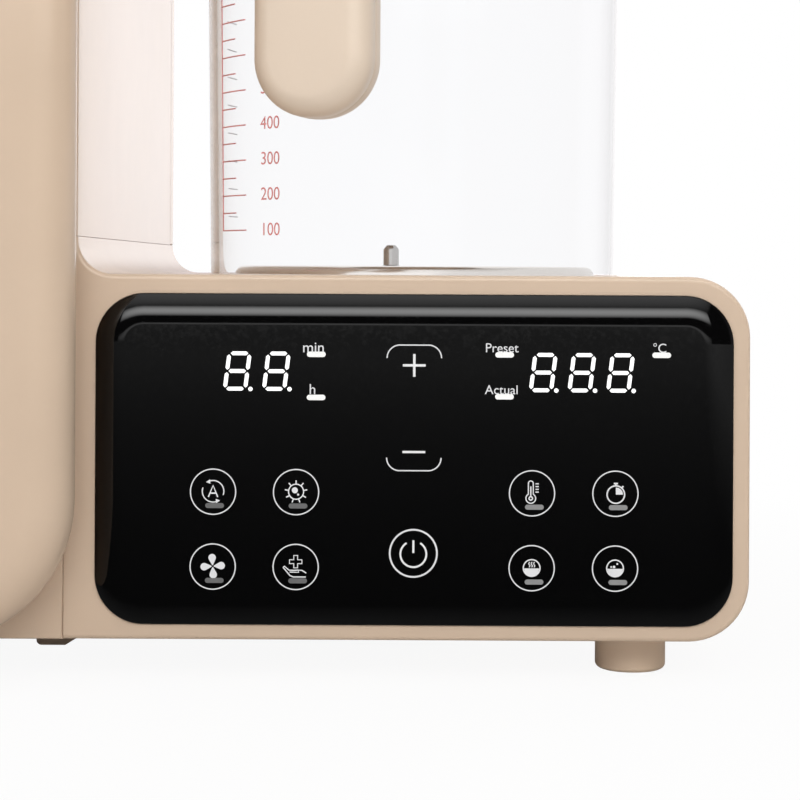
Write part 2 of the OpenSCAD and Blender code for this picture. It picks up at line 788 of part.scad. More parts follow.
module door_window() color([0.12, 0.1, 0.1, 0.6]) in_door() translate([0, 0, door_t - pane_t])
    linear_extrude(pane_t) window_outline(pane_lip - seat_fit);

module door_panel() color(white) in_door() difference() {
    linear_extrude(inner_panel_t) even_rect([0, 0],
        [door_w - 2 * (door_stile + seat_fit), door_h - 2 * (door_rail + seat_fit)],
        door_pocket_r - seat_fit);
    translate([0, 0, -eps]) linear_extrude(inner_panel_t + 2 * eps) window_outline(0);
    translate([0, 0, -eps]) linear_extrude(inner_pane_t + eps) window_outline(pane_lip);
    door_posts() screw_room(inner_panel_t);
}

module inner_window() color([0.12, 0.1, 0.1, 0.6]) in_door()
    linear_extrude(inner_pane_t) window_outline(pane_lip - seat_fit);

module door_magnets() color("#55585c")
    for (z = magnet_zs) rod_y(magnet_r, magnet_x, z, y_door - magnet_h, y_door);

module door_screws() color(steel) in_door() door_posts() screw(door_t - door_skin);

module base_outline() difference() {
    union() {
        corner_rect([x_seam, z_under], [x_right, z_base], [0, lower_r, base_r, 0]);
        translate([x_seam, z_base - eps]) square([flange_t, flange_rise + eps]);
        translate([x_wall - eps, z_base - eps]) square([flange_r + eps, flange_r + eps]);
    }
    translate([x_wall + flange_r, z_base + flange_r]) circle(flange_r);
}

module panel_outline(grow = 0)
    even_rect([panel_x, panel_z], [panel_w + 2 * grow, panel_h + 2 * grow], panel_r + grow);

module touch_boss_at(r, y0, y1)
    for (sx = [-1, 1], sy = [-1, 1])
        rod_y(r, panel_x + sx * (touch_w / 2 - 3.4), panel_z + sy * (touch_h / 2 - 2.5), y0, y1);

module base_shell() color(beige) difference() {
    union() {
        difference() {
            along_y(y_face, body_d) base_outline();
            along_y(y_face + front_wall, body_d - front_wall - wall)
                corner_rect([x_seam + wall, z_under + wall], [x_right - wall, z_base - wall],
                    [0, lower_r - wall, base_r - wall, 0]);
            translate([x_seam + wall, y_face + front_wall, z_under - eps])
                cube([x_right - lower_r - x_seam - wall, body_d - front_wall - wall, wall + 2 * eps]);
        }
        for (p = base_screw_at) translate([p.x, p.y, z_under + wall]) cylinder(r = boss_r, h = boss_h);
        touch_boss_at(2.4, y_face + front_wall - eps, y_touch);
    }
    translate([kettle_x, kettle_y, z_well]) cylinder(r = well_r + wall + seat_fit, h = well_depth + eps);
    along_y(y_face - eps, panel_seat + eps) panel_outline(seat_fit);
    along_y(y_face, front_wall + eps) even_rect([panel_x, panel_z], [opening_w, opening_h], 6);
    for (p = base_screw_at) translate([p.x, p.y, z_under]) screw_room(bottom_screw_l);
    at_join_screws() translate([0, 0, screw_head_h]) cylinder(r = screw_r + seat_fit, h = wall + eps);
    rod_x(harness_hole, harness_y, harness_z, x_seam - eps, x_seam + wall + eps);
    for (i = [-5:5]) along_y(y_back - wall - eps, wall + 2 * eps)
        even_rect([base_x + i * 9, z_under + base_h / 2 - 8], [4, 36], 1.9);
}

module kettle_well() color(beige) translate([kettle_x, kettle_y, z_well]) difference() {
    union() {
        translate([0, 0, -wall]) cylinder(r = well_r + wall, h = well_depth + wall);
        translate([0, 0, well_depth - wall - cup_rim_t])
            cylinder(r = well_r + wall + cup_rim_w, h = cup_rim_t);
    }
    cylinder(r = well_r, h = well_depth + eps);
    translate([0, 0, -wall - eps]) cylinder(r = connector_r + seat_fit, h = wall + 2 * eps);
}

module base_bottom_cover() color(beige) difference() {
    translate([cover_x0, y_face + front_wall + seat_fit, z_under])
        cube([cover_x1 - cover_x0, body_d - front_wall - wall - 2 * seat_fit, wall]);
    for (p = base_screw_at) translate([p.x, p.y, z_under]) screw_room(bottom_screw_l);
}

module control_panel() color(black) translate([panel_x, y_face + panel_seat, panel_z]) rotate([90, 0, 0])
    edged_plate(panel_w, panel_h, panel_t, panel_r) crowned(panel_t, panel_r, panel_rim, panel_rim_r);

module touch_board() color(board_green) along_y(y_touch, board_t)
    even_rect([panel_x, panel_z], [touch_w, touch_h], 3);

module display(at, size)
    along_y(y_face + panel_seat + display_gap, y_touch - y_face - panel_seat - display_gap)
        even_rect([panel_x + at.x, panel_z + at.y], size, 1);

module time_display() color("#1b1c1f") display(time_at, time_size);

module temperature_display() color("#1b1c1f") display(temperature_at, temperature_size);

module touch_springs() color(steel)
    for (p = key_at) rod_y(spring_r, panel_x + p.x, panel_z + p.y, y_face + panel_seat, y_touch);

module base_connector() color(black) translate([kettle_x, kettle_y, 0]) {
    translate([0, 0, z_well - wall - connector_tail])
        cylinder(r = connector_r, h = connector_tail + wall + connector_h);
    translate([0, 0, z_well - 2 * wall]) cylinder(r = connector_r + connector_flange, h = wall);
}

module base_feet() color("#b79a80")
    for (y = [y_face + base_foot_in, y_back - base_foot_in])
        translate([base_foot_x, y, 0]) cylinder(r = base_foot_r, h = foot_h);

module base_screws() color(steel)
    for (p = base_screw_at) translate([p.x, p.y, z_under]) screw(bottom_screw_l);

module wire_harness() color("#8d2f2c") translate([0, 0, harness_z]) {
    rod_y(harness_r, harness_x, 0, y_touch + board_t, harness_y - harness_bend);
    translate([harness_x - harness_bend, harness_y - harness_bend, 0])
        rotate_extrude(angle = 90) translate([harness_bend, 0]) circle(harness_r);
    rod_x(harness_r, harness_y, 0, board_x + board_w / 2, harness_x - harness_bend);
}

module at_kettle() translate([kettle_x, kettle_y, 0]) rotate(kettle_turn) children();

module kettle_socket() color(black) at_kettle() rotate_extrude() polygon([
    [connector_r + 2 * free_fit, z_well + free_fit], [socket_r, z_well + free_fit],
    [socket_r, z_well + bottom_floor + free_fit], [socket_r + socket_lip, z_well + bottom_floor + free_fit],
    [socket_r + socket_lip, z_well + bottom_floor + 2.5], [socket_r, z_well + bottom_floor + 2.5],
    [socket_r, socket_top], [0, socket_top],
    [0, z_well + connector_h + free_fit], [connector_r + 2 * free_fit, z_well + connector_h + free_fit]
]);

module kettle_glass() color(clear) at_kettle() rotate_extrude() polygon([
    [glass_in, glass_z0], [glass_r, glass_z0],
    [glass_r + glass_flare, glass_z1], [glass_in + glass_flare, glass_z1]
]);

module kettle_bottom() color(beige) at_kettle() rotate_extrude() polygon([
    [socket_r + free_fit, z_well + rest_gap], [glass_r - bottom_chamfer, z_well + rest_gap],
    [glass_r, z_well + bottom_chamfer], [glass_r, glass_z0],
    [glass_in + seat_fit, glass_z0], [glass_in + seat_fit, plate_foot],
    [glass_in - ledge_w, plate_foot], [glass_in - ledge_w, plate_foot - 2.5],
    [glass_r - bottom_wall, plate_foot - 2.5 - ledge_w], [glass_r - bottom_wall, z_well + bottom_floor],
    [socket_r + free_fit, z_well + bottom_floor]
]);

module heating_plate() color(steel) at_kettle() difference() {
    rotate_extrude() difference() {
        union() {
            translate([0, plate_foot]) one_round(plate_z - plate_foot, plate_r, plate_edge_r);
            translate([0, plate_foot]) square([glass_in - seat_fit / 2, plate_t]);
        }
        translate([0, plate_foot - eps]) square([plate_r - plate_t, plate_z - plate_foot - plate_t + eps]);
    }
    translate([probe_at.x, probe_at.y, plate_foot])
        cylinder(r = probe_r + run_fit, h = plate_z - plate_foot + eps);
}

module plate_seal() color(white) at_kettle() translate([0, 0, plate_foot + plate_t]) difference() {
    cylinder(r = glass_in - seat_fit / 2, h = z_base - plate_foot - plate_t - eps);
    translate([0, 0, -eps]) cylinder(r = plate_r + seat_fit / 2, h = well_depth);
}

module heating_element() color("#8a8d90") at_kettle() difference() {
    translate([0, 0, plate_z - plate_t - element_h]) cylinder(r = element_r1, h = element_h);
    translate([0, 0, plate_z - plate_t - element_h - eps]) cylinder(r = element_r0, h = element_h + 2 * eps);
}

module temperature_probe() color(steel) at_kettle()
    translate([probe_at.x, probe_at.y, plate_z - plate_t - probe_root])
        rotate_extrude() one_round(probe_root + plate_t + probe_h, probe_r, probe_r / 2);

module spout(grow, floor_z) intersection() {
    along_x(-spout_w, 2 * spout_w) polygon([
        [collar_in + 1 - grow * 5, floor_z], [spout_reach - grow, collar_z1 - 4 - grow],
        [spout_reach - grow, collar_z1 + grow], [collar_in + 1 - grow * 5, collar_z1 + grow]
    ]);
    translate([0, 0, collar_z0]) linear_extrude(collar_z1 - collar_z0 + spout_wall) polygon([
        [-spout_w / 2 + grow, collar_in + 1 - grow * 5], [spout_w / 2 - grow, collar_in + 1 - grow * 5],
        [spout_tip / 2 - grow / 2, spout_reach - grow], [-spout_tip / 2 + grow / 2, spout_reach - grow]
    ]);
}

module kettle_collar() color(beige) at_kettle() difference() {
    union() {
        rotate_extrude() polygon([
            [collar_in, collar_z0], [collar_out - 0.6, collar_z0], [collar_out, glass_z1],
            [collar_out - 0.6, collar_z1 - 2], [collar_out - 2.6, collar_z1], [neck_r, collar_z1],
            [neck_r, glass_z1 + seal_h], [collar_in, glass_z1 + seal_h]
        ]);
        spout(0, glass_z1 - 6);
        translate([-lug_w / 2, -handle_r0, lug_z]) cube([lug_w, handle_r0 - collar_in - 1.5, lug_h]);
    }
    spout(spout_wall, glass_z1 + seal_h + 3);
    for (z = lug_screw_zs) rod_y(screw_r + run_fit, 0, z, -handle_r0 - eps, -handle_r0 + 9);
}

module glass_seal() color(white) at_kettle() translate([0, 0, glass_z1]) difference() {
    cylinder(r = glass_r + glass_flare, h = seal_h);
    translate([0, 0, -eps]) cylinder(r = glass_in + glass_flare, h = seal_h + 2 * eps);
}

// Half of the handle, from its parting face outwards
module handle_half() edged_plate(handle_w, handle_l, handle_t / 2, handle_corner)
    one_round(handle_t / 2, handle_corner, handle_edge_r);

module at_handle() at_kettle() translate([0, -handle_split, (handle_z0 + handle_z1) / 2]) children();

module at_grip_screws() at_kettle()
    for (z = grip_screw_zs) translate([0, -handle_r0, z]) rotate([90, 0, 0]) children();

module at_lug_screws() at_kettle()
    for (z = lug_screw_zs) translate([0, -handle_split, z]) rotate([-90, 0, 0]) children();

module handle_outer() color(beige) difference() {
    at_handle() rotate([90, 0, 0]) handle_half();
    at_grip_screws() screw_room(grip_screw_l);
}

module handle_inner() color(beige) difference() {
    at_handle() rotate([-90, 0, 0]) handle_half();
    at_grip_screws() screw_room(grip_screw_l);
    at_lug_screws() screw_room(lug_screw_l);
}

module handle_screws() color(steel) {
    at_grip_screws() screw(grip_screw_l);
    at_lug_screws() screw(lug_screw_l);
}

module lid_cap() color(beige) at_kettle() translate([0, 0, collar_z1]) difference() {
    rotate_extrude() polygon([
        [0, 0], [neck_r - free_fit - lid_ring - lid_skirt_t, 0],
        [neck_r - free_fit - lid_ring - lid_skirt_t, -lid_skirt], [neck_r - free_fit - lid_ring, -lid_skirt],
        [neck_r - free_fit - lid_ring, 0], [lid_r, 0], [lid_r, lid_t - lid_edge - 1],
        [lid_r - lid_edge, lid_t - 1], [knob_r, lid_t], [0, lid_t]
    ]);
    screw_room(lid_t);
}

module lid_knob() color(beige) at_kettle() translate([0, 0, collar_z1 + lid_t]) difference() {
    rotate_extrude() union() {
        square([knob_stem, knob_h / 2]);
        translate([0, knob_h / 3]) one_round(knob_h * 2 / 3, knob_r, 6);
    }
    translate([0, 0, -lid_t]) cylinder(r = screw_r + run_fit, h = lid_screw_l + eps);
}

module lid_seal() color(white) at_kettle() translate([0, 0, collar_z1 - lid_skirt + 2]) difference() {
    cylinder(r = neck_r - free_fit, h = 4);
    translate([0, 0, -eps]) cylinder(r = neck_r - free_fit - lid_ring + 0.02, h = 5);
}

module lid_screw() color(steel) at_kettle() translate([0, 0, collar_z1]) screw(lid_screw_l);

front_frame();
cabinet_shell();
back_cover();
chamber_liner();
rack_rails();
uv_lamp_tubes();
lamp_holders();
fan_frame();
fan_impeller();
air_heater();
air_filter();
filter_cover();
power_board();
board_parts();
board_standoffs();
cord_gland();
strike_plates();
door_sensor();
door_seal();
hinge_pins();
cabinet_feet();
back_screws();
joining_screws();
lower_rack();
upper_rack();
door_shell();
door_window();
door_panel();
inner_window();
door_magnets();
door_screws();
base_shell();
kettle_well();
base_bottom_cover();
control_panel();
touch_board();
time_display();
temperature_display();
touch_springs();
base_connector();
base_feet();
base_screws();
wire_harness();
kettle_socket();
kettle_glass();
kettle_collar();
glass_seal();
handle_outer();
handle_inner();
handle_screws();
kettle_bottom();
heating_plate();
plate_seal();
heating_element();
temperature_probe();
lid_cap();
lid_knob();
lid_seal();
lid_screw();
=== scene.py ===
import math

import bmesh
import bpy
from mathutils import Matrix, Vector


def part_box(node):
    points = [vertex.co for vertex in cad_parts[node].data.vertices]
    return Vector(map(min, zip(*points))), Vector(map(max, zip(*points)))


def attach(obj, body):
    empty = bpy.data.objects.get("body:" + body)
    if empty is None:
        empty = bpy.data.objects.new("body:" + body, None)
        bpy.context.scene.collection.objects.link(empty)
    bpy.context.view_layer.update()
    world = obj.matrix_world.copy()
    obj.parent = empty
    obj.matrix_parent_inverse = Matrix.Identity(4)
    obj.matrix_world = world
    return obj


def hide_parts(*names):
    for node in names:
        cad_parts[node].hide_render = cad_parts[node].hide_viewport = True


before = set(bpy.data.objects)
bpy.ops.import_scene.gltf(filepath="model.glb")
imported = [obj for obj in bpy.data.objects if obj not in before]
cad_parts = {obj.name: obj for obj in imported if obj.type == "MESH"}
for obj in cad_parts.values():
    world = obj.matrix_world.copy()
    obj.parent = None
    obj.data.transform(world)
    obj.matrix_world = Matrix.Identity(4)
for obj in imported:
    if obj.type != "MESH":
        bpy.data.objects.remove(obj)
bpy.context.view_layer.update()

# Camera: it stands level before the middle of the kettle, with a long lens.
# The frame is shifted down, so upright edges stay upright in the picture.
camera_data = bpy.data.cameras.new("camera")
camera_data.sensor_width = 36
camera_data.lens = 90
camera_data.shift_x = -0.018
camera_data.shift_y = -0.1638
camera_data.clip_start = 0.01
camera = bpy.data.objects.new("camera", camera_data)
camera.location = (0.1266, -0.5825, 0.1021)
camera.rotation_euler = (math.radians(90), math.radians(-0.3), 0)
scene = bpy.context.scene
scene.collection.objects.link(camera)
scene.camera = camera
scene.view_settings.view_transform = "Standard"


# Floor: a pale sheet under the object that fades to white for the camera and through glass.
# Mirror-like surfaces see a painted reflection glowing on it: pale close by, dark a hand's breadth before
# the object, and paler again further off and at the right.
def fill(tree, inputs, values):
    # A node or an output among the values is linked, a node by its first output. Other values are set.
    for socket, value in values.items():
        source = getattr(value, "outputs", [value])[0]
        if isinstance(source, bpy.types.NodeSocket):
            tree.links.new(source, inputs[socket])
        else:
            inputs[socket].default_value = source


def add_node(tree, kind, values=None, **settings):
    made = tree.nodes.new("ShaderNode" + kind)
    for setting, value in settings.items():
        setattr(made, setting, value)
    fill(tree, made.inputs, values or {})
    return made


def maths(tree, operation, *values, **settings):
    return add_node(tree, "Math", dict(enumerate(values)), operation=operation, **settings)


def graded(tree, source, low, high, start, end):
    limits = {"From Min": low, "From Max": high, "To Min": start, "To Max": end}
    return add_node(tree, "MapRange", {"Value": source, **limits})


def unselect():
    bpy.ops.object.select_all(action="DESELECT")


unselect()
bpy.ops.mesh.primitive_plane_add(size=8, location=(0, 0, -0.0003))
floor = bpy.context.object
floor.name = "floor"
floor_paint = bpy.data.materials.new("floor_paint")
floor_paint.use_nodes = True
floor_tree = floor_paint.node_tree
floor_tree.nodes.clear()
floor_ray = add_node(floor_tree, "LightPath").outputs
floor_spot = add_node(floor_tree, "TexCoord").outputs["Object"]
floor_axes = add_node(floor_tree, "SeparateXYZ", {0: floor_spot}).outputs
far_pale = graded(floor_tree, floor_axes["Y"], -0.25, -1.8, 0.03, 0.2)
near_pale = graded(floor_tree, floor_axes["Y"], -0.12, -0.095, 0, 0.08)
right_pale = graded(floor_tree, floor_axes["X"], 0.45, 1.2, 0, 0.22)
near_and_far = maths(floor_tree, "ADD", far_pale, near_pale)
mirror_sum = maths(floor_tree, "ADD", near_and_far, right_pale)
pale = add_node(floor_tree, "BsdfDiffuse", {"Color": (0.84, 0.83, 0.82, 1)})
floor_painted_reflection = add_node(floor_tree, "Emission", {"Color": (1, 1, 1, 1), "Strength": mirror_sum})
for_mirrors = add_node(floor_tree, "MixShader", {0: floor_ray["Is Glossy Ray"], 1: pale, 2: floor_painted_reflection})
reach = add_node(floor_tree, "VectorMath", {0: floor_spot}, operation="LENGTH").outputs["Value"]
shadow_fade = graded(floor_tree, reach, 0.2, 0.45, 0.93, 1)
seen_ray = maths(floor_tree, "MAXIMUM", floor_ray["Is Camera Ray"], floor_ray["Is Transmission Ray"])
white_share = maths(floor_tree, "MULTIPLY", seen_ray, shadow_fade)
white_floor = add_node(floor_tree, "Emission", {"Color": (1, 1, 1, 1), "Strength": 1})
for_camera = add_node(floor_tree, "MixShader", {0: white_share, 1: for_mirrors, 2: white_floor})
add_node(floor_tree, "OutputMaterial", {0: for_camera})
floor.data.materials.append(floor_paint)

# Surroundings: white for the camera and through glass, a weak fill for matte surfaces.
# Mirror-like surfaces see a rosy white behind the object and a dark room before it.
world = bpy.data.worlds.new("surroundings")
scene.world = world
world.use_nodes = True
air_tree = world.node_tree
air_tree.nodes.clear()
air_ray = add_node(air_tree, "LightPath").outputs
air_spot = add_node(air_tree, "TexCoord").outputs["Generated"]
air_axes = add_node(air_tree, "SeparateXYZ", {0: air_spot}).outputs
behind = graded(air_tree, air_axes["Y"], -0.25, 0.3, 0.03, 1)
at_right = graded(air_tree, air_axes["X"], 0.16, 0.3, 1, 0.8)
seen_in_glass = air_ray["Is Transmission Ray"]
mirror_ray = maths(air_tree, "SUBTRACT", air_ray["Is Glossy Ray"], seen_in_glass, use_clamp=True)
mirrored_air = maths(air_tree, "MULTIPLY", mirror_ray, behind)
through_glass = maths(air_tree, "MULTIPLY", seen_in_glass, at_right)
seen_air = maths(air_tree, "MAXIMUM", air_ray["Is Camera Ray"], through_glass)
all_air = maths(air_tree, "MAXIMUM", seen_air, mirrored_air)
matte_fill = maths(air_tree, "MULTIPLY_ADD", air_ray["Is Diffuse Ray"], 0.25, all_air)
# Inputs 6 and 7 of a colour mix are its two colours, and output 2 is the result.
air_colours = {0: mirror_ray, 6: (1, 1, 1, 1), 7: (0.98, 0.91, 0.93, 1)}
rosy = add_node(air_tree, "Mix", air_colours, data_type="RGBA").outputs[2]
air = add_node(air_tree, "Background", {"Color": rosy, "Strength": matte_fill})
add_node(air_tree, "OutputWorld", {0: air})


# Lamps: soft boxes before, beside, above and behind the object, each dimmer towards its edges.
# The strip close before the object only draws the bright band along the upper rim of the black panel,
# and the boxes that would glare on the cabinet top from behind don't show in reflections.
def soft_box(name, place_m, aim_m, size_m, watts, edges=(0.5, 0.5)):
    sine_loss = 0.57
    lamp_data = bpy.data.lights.new(name, "AREA")
    lamp_data.shape = "RECTANGLE"
    lamp_data.size, lamp_data.size_y = size_m
    lamp_data.energy = watts
    lamp_data.use_nodes = True
    tree = lamp_data.node_tree
    cloth = add_node(tree, "NewGeometry").outputs["Parametric"]
    axes = add_node(tree, "SeparateXYZ", {0: cloth}).outputs
    glow = []
    for axis, edge in enumerate(edges):
        half_turn = maths(tree, "MULTIPLY", axes[axis], math.pi)
        swell = maths(tree, "SINE", half_turn, use_clamp=True)
        flatten = maths(tree, "POWER", swell, edge)
        glow.append(maths(tree, "MULTIPLY", flatten, 1 + sine_loss * edge))
    fill(tree, tree.nodes["Emission"].inputs, {"Strength": maths(tree, "MULTIPLY", *glow)})
    lamp = bpy.data.objects.new(name, lamp_data)
    lamp.location = place_m
    lamp.rotation_euler = (Vector(aim_m) - Vector(place_m)).to_track_quat("-Z", "Y").to_euler()
    lamp.visible_camera = False
    lamp.visible_transmission = False
    scene.collection.objects.link(lamp)
    return lamp


front_box = soft_box("front_box", (0.13, -0.74, 0.5), (0.12, -0.09, 0.12), (0.84, 0.36), 2.8, (0.25, 1))
front_box.visible_glossy = False
band_box = soft_box(
    "band_box", (0.13, -0.357, 0.26), (0.12, -0.0906, 0.104), (0.552, 0.148), 0.757, (0.25, 1)
)
band_box.visible_diffuse = False
right_box = soft_box("right_box", (0.95, -0.85, 0.68), (0.05, 0, 0.1), (1, 0.9), 2.4, (1, 1))
right_box.visible_glossy = False
soft_box("left_box", (-1.1, -0.6, 0.7), (0, -0.05, 0.15), (0.7, 0.9), 1.3)
soft_box("top_box", (0.1, -0.3, 1.3), (0.1, -0.05, 0.1), (2.2, 1.8), 8)
soft_box("back_box", (0.5, 1.05, 0.28), (0.05, 0.03, 0.17), (1, 0.9), 2.3)
back_fill = soft_box("back_fill", (-0.3, 1.3, 0.8), (0, 0.1, 0.15), (1.2, 1.2), 3.5)
back_fill.visible_glossy = False
soft_box("low_strip", (0.13, -3, 0.13), (0.12, -0.09, 0.09), (3, 0.24), 1.4)

# Cabinet housings: front frame, shell and back cover, moulded in satin beige plastic.
# The outer edges are softly rounded, and the seams between the mouldings show as fine grooves.
weld_m = 0.000002


def activate(piece):
    unselect()
    piece.select_set(True)
    bpy.context.view_layer.objects.active = piece


def open_mesh(pick="SELECT", parts=None):
    bpy.ops.object.mode_set(mode="EDIT")
    if parts:
        bpy.ops.mesh.select_mode(type=parts)
    bpy.ops.mesh.select_all(action=pick)


def close_mesh():
    bpy.ops.object.mode_set(mode="OBJECT")


def copied(source, name):
    twin = source.copy()
    twin.data = source.data.copy()
    twin.name = name
    scene.collection.objects.link(twin)
    return twin


def merged_copy(node, name):
    piece = copied(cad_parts[node], name)
    piece.parent = None
    piece.matrix_world = Matrix.Identity(4)
    piece.data.materials.clear()
    activate(piece)
    open_mesh()
    bpy.ops.mesh.customdata_custom_splitnormals_clear()
    bpy.ops.mesh.remove_doubles(threshold=weld_m)
    bpy.ops.mesh.dissolve_limited(angle_limit=math.radians(0.3))
    close_mesh()
    return piece


def everywhere(x, y, z):
    return True


def round_edges(piece, width, segments, wanted):
    sharp = math.radians(40)
    activate(piece)
    open_mesh("DESELECT", "EDGE")
    mesh = bmesh.from_edit_mesh(piece.data)
    for edge in mesh.edges:
        if len(edge.link_faces) == 2 and edge.calc_face_angle() > sharp:
            middle = (edge.verts[0].co + edge.verts[1].co) * 500
            edge.select_set(wanted(middle.x, middle.y, middle.z))
    bmesh.update_edit_mesh(piece.data)
    bpy.ops.mesh.bevel(offset=width, segments=segments, affect="EDGES", clamp_overlap=False)
    close_mesh()


def smooth(piece, angle):
    activate(piece)
    bpy.ops.object.shade_smooth_by_angle(angle=math.radians(angle))
    weigh = piece.modifiers.new("weighted", "WEIGHTED_NORMAL")
    weigh.keep_sharp = True
    bpy.ops.object.modifier_apply(modifier=weigh.name)


def hand_in(piece, body, slot, paint, *nodes_replaced):
    piece.data.materials.append(paint)
    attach(piece, body)
    if nodes_replaced:
        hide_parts(*nodes_replaced)


def finished(piece, angle, *duties):
    smooth(piece, angle)
    hand_in(piece, *duties)


def moulded(node, name, body, slot, paint, width=0, segments=2, wanted=everywhere, angle=35):
    piece = merged_copy(node, name)
    if width:
        round_edges(piece, width, segments, wanted)
    finished(piece, angle, body, slot, paint, node)


def new_paint(name):
    paint = bpy.data.materials.new(name)
    paint.use_nodes = True
    tree = paint.node_tree
    coords = add_node(tree, "TexCoord")
    return paint, tree, tree.nodes["Principled BSDF"].inputs, coords.outputs["Object"]


def two_tone(tree, pattern, first, second, start=0, end=1):
    tone = add_node(tree, "ValToRGB", {"Fac": pattern})
    for stop, position, colour in zip(tone.color_ramp.elements, (start, end), (first, second)):
        stop.position = position
        stop.color = list(colour) + [1]
    return tone


def noise(tree, spot, scale, detail):
    return add_node(tree, "TexNoise", {"Vector": spot, "Scale": scale, "Detail": detail})


def relief(tree, pattern, strength, depth_m):
    return add_node(tree, "Bump", {"Height": pattern, "Strength": strength, "Distance": depth_m})


def plastic(name, colour, low_rough, high_rough, grain):
    paint, tree, shader, spot = new_paint(name)
    cloud = noise(tree, spot, 22, 3)
    speck = noise(tree, spot, 2600, 2)
    darker = [c * 0.975 for c in colour]
    paler = [min(1, c * 1.02) for c in colour]
    looks = {
        "Base Color": two_tone(tree, cloud, darker, paler, 0.3, 0.7),
        "Specular IOR Level": 0.36,
        "Roughness": graded(tree, cloud, 0, 1, low_rough, high_rough),
        "Normal": relief(tree, speck, grain, 0.0001),
    }
    fill(tree, shader, looks)
    return paint


def outer_rim(x, y, z):
    cabinet_x = -83.4
    cabinet_z = 167.5
    half_width = 126.6
    half_height = 157.5
    radius = 30 if z > 160 else 15
    aside = abs(x - cabinet_x) - half_width + radius
    upwards = abs(z - cabinet_z) - half_height + radius
    beyond = min(max(aside, upwards), 0) + math.hypot(max(aside, 0), max(upwards, 0)) - radius
    beside_base = 39.5 < x < 40.1 and z < 110
    return (y < -87.4 or y > 100.4) and (beyond > -0.6 or beside_base)


beige = plastic("beige_plastic_paint", (0.66, 0.508, 0.382), 0.21, 0.25, 0.04)
for node in ("front_frame", "cabinet_shell", "back_cover"):
    moulded(node, node + "_moulding", "housing", "beige_plastic", beige, width=0.0005, wanted=outer_rim)


# Filter cover: a small slotted plate of the same plastic that pulls off the back.
# Its slots are moulded through, with softly broken edges.
def filter_face(x, y, z):
    return y > 108


moulded(
    "filter_cover", "filter_plate", "filter_cover", "beige_plastic", beige, width=0.0003, wanted=filter_face
)


# Door: a thick moulded frame with a fully rounded edge, hinged at its left side.
# The rebate round its window has a small broken edge.
def door_front(x, y, z):
    return y < -108.4


moulded(
    "door_shell", "door_moulding", "door", "beige_plastic", beige, width=0.0004, wanted=door_front, angle=28
)


# Door lining: a flat white moulding screwed into the back of the door round the inner pane.
# Its visible edges are broken.
def lining_face(x, y, z):
    return y > -88.6


white = plastic("white_plastic_paint", (0.8, 0.79, 0.76), 0.35, 0.45, 0.1)
moulded("door_panel", "door_lining", "door", "white_plastic", white, width=0.0004, wanted=lining_face)


# Door panes: two dark tinted panes, ground flat, with polished chamfers.
# The outer one lies flush in the door front, the inner one in the lining.
def glass(name, colour, bending, rough, haze_scale):
    paint, tree, shader, spot = new_paint(name)
    haze = noise(tree, spot, haze_scale, 2)
    looks = {
        "Base Color": list(colour) + [1],
        "Transmission Weight": 1,
        "IOR": bending,
        "Roughness": graded(tree, haze, 0, 1, 0, rough),
    }
    fill(tree, shader, looks)
    return paint


tinted = glass("tinted_glass_paint", (0.42, 0.38, 0.36), 1.47, 0.01, 30)
for node in ("door_window", "inner_window"):
    moulded(node, node + "_pane", "door", "tinted_glass", tinted, width=0.0005, segments=1, angle=30)


# Kettle base: one moulding with front, sides and top, and a flange that laps the cabinet side.
# Its front edges are broad and soft, the other edges fine.
def inset_face(piece, width, wanted):
    activate(piece)
    open_mesh("DESELECT", "FACE")
    mesh = bmesh.from_edit_mesh(piece.data)
    for face in mesh.faces:
        face.select_set(all(wanted(*(vert.co * 1000)) for vert in face.verts))
    bmesh.update_edit_mesh(piece.data)
    bpy.ops.mesh.inset(thickness=width, depth=0, use_boundary=True, use_even_offset=True)
    close_mesh()


def base_front(x, y, z):
    return y < -87.45


def base_rim(x, y, z):
    seat_x = 126.8
    seat_z = 54.85
    seat_r = 12.8
    aside = max(abs(x - seat_x) - 66.8, 0)
    upwards = max(abs(z - seat_z) - 28.8, 0)
    on_panel_seat = math.hypot(aside, upwards) < seat_r
    return y < -87.4 and not on_panel_seat and not (x < 43 and z < 111)


def base_fine_edges(x, y, z):
    return (x < 40.1 and y < -87.2) or z > 109.8 or y > 108.4


base_moulding = merged_copy("base_shell", "base_moulding")
inset_face(base_moulding, 0.0015, base_front)
round_edges(base_moulding, 0.0012, 4, base_rim)
round_edges(base_moulding, 0.0004, 2, base_fine_edges)
finished(base_moulding, 35, "housing", "beige_plastic", beige, "base_shell")


# Kettle well: a beige cup let into the base top, with a softly rounded brim.
# It was moulded apart and is held under the top of the base.
def well_brim(x, y, z):
    return z > 100.4


moulded(
    "kettle_well", "well_cup", "housing", "beige_plastic", beige, width=0.0006, segments=3, wanted=well_brim
)


# Bottom cover of the base: a flat plate of the same plastic, held by four screws.
# Its lower edges are broken.
def cover_under(x, y, z):
    return z < 10.1


moulded(
    "base_bottom_cover", "bottom_plate", "housing", "beige_plastic", beige, width=0.0003, wanted=cover_under
)

# Cabinet feet: sloped skids under the four corners of the cabinet, painted paler than the housings to
# lighten the shade that falls under the cabinet.
# They are moulded blocks with broken edges.
shade_lightened_foot_paint = plastic("foot_shade_lightened_paint", (0.78, 0.61, 0.46), 0.35, 0.45, 0.1)
moulded("cabinet_feet", "skid_feet", "housing", "foot_plastic", shade_lightened_foot_paint, width=0.0005, segments=3)
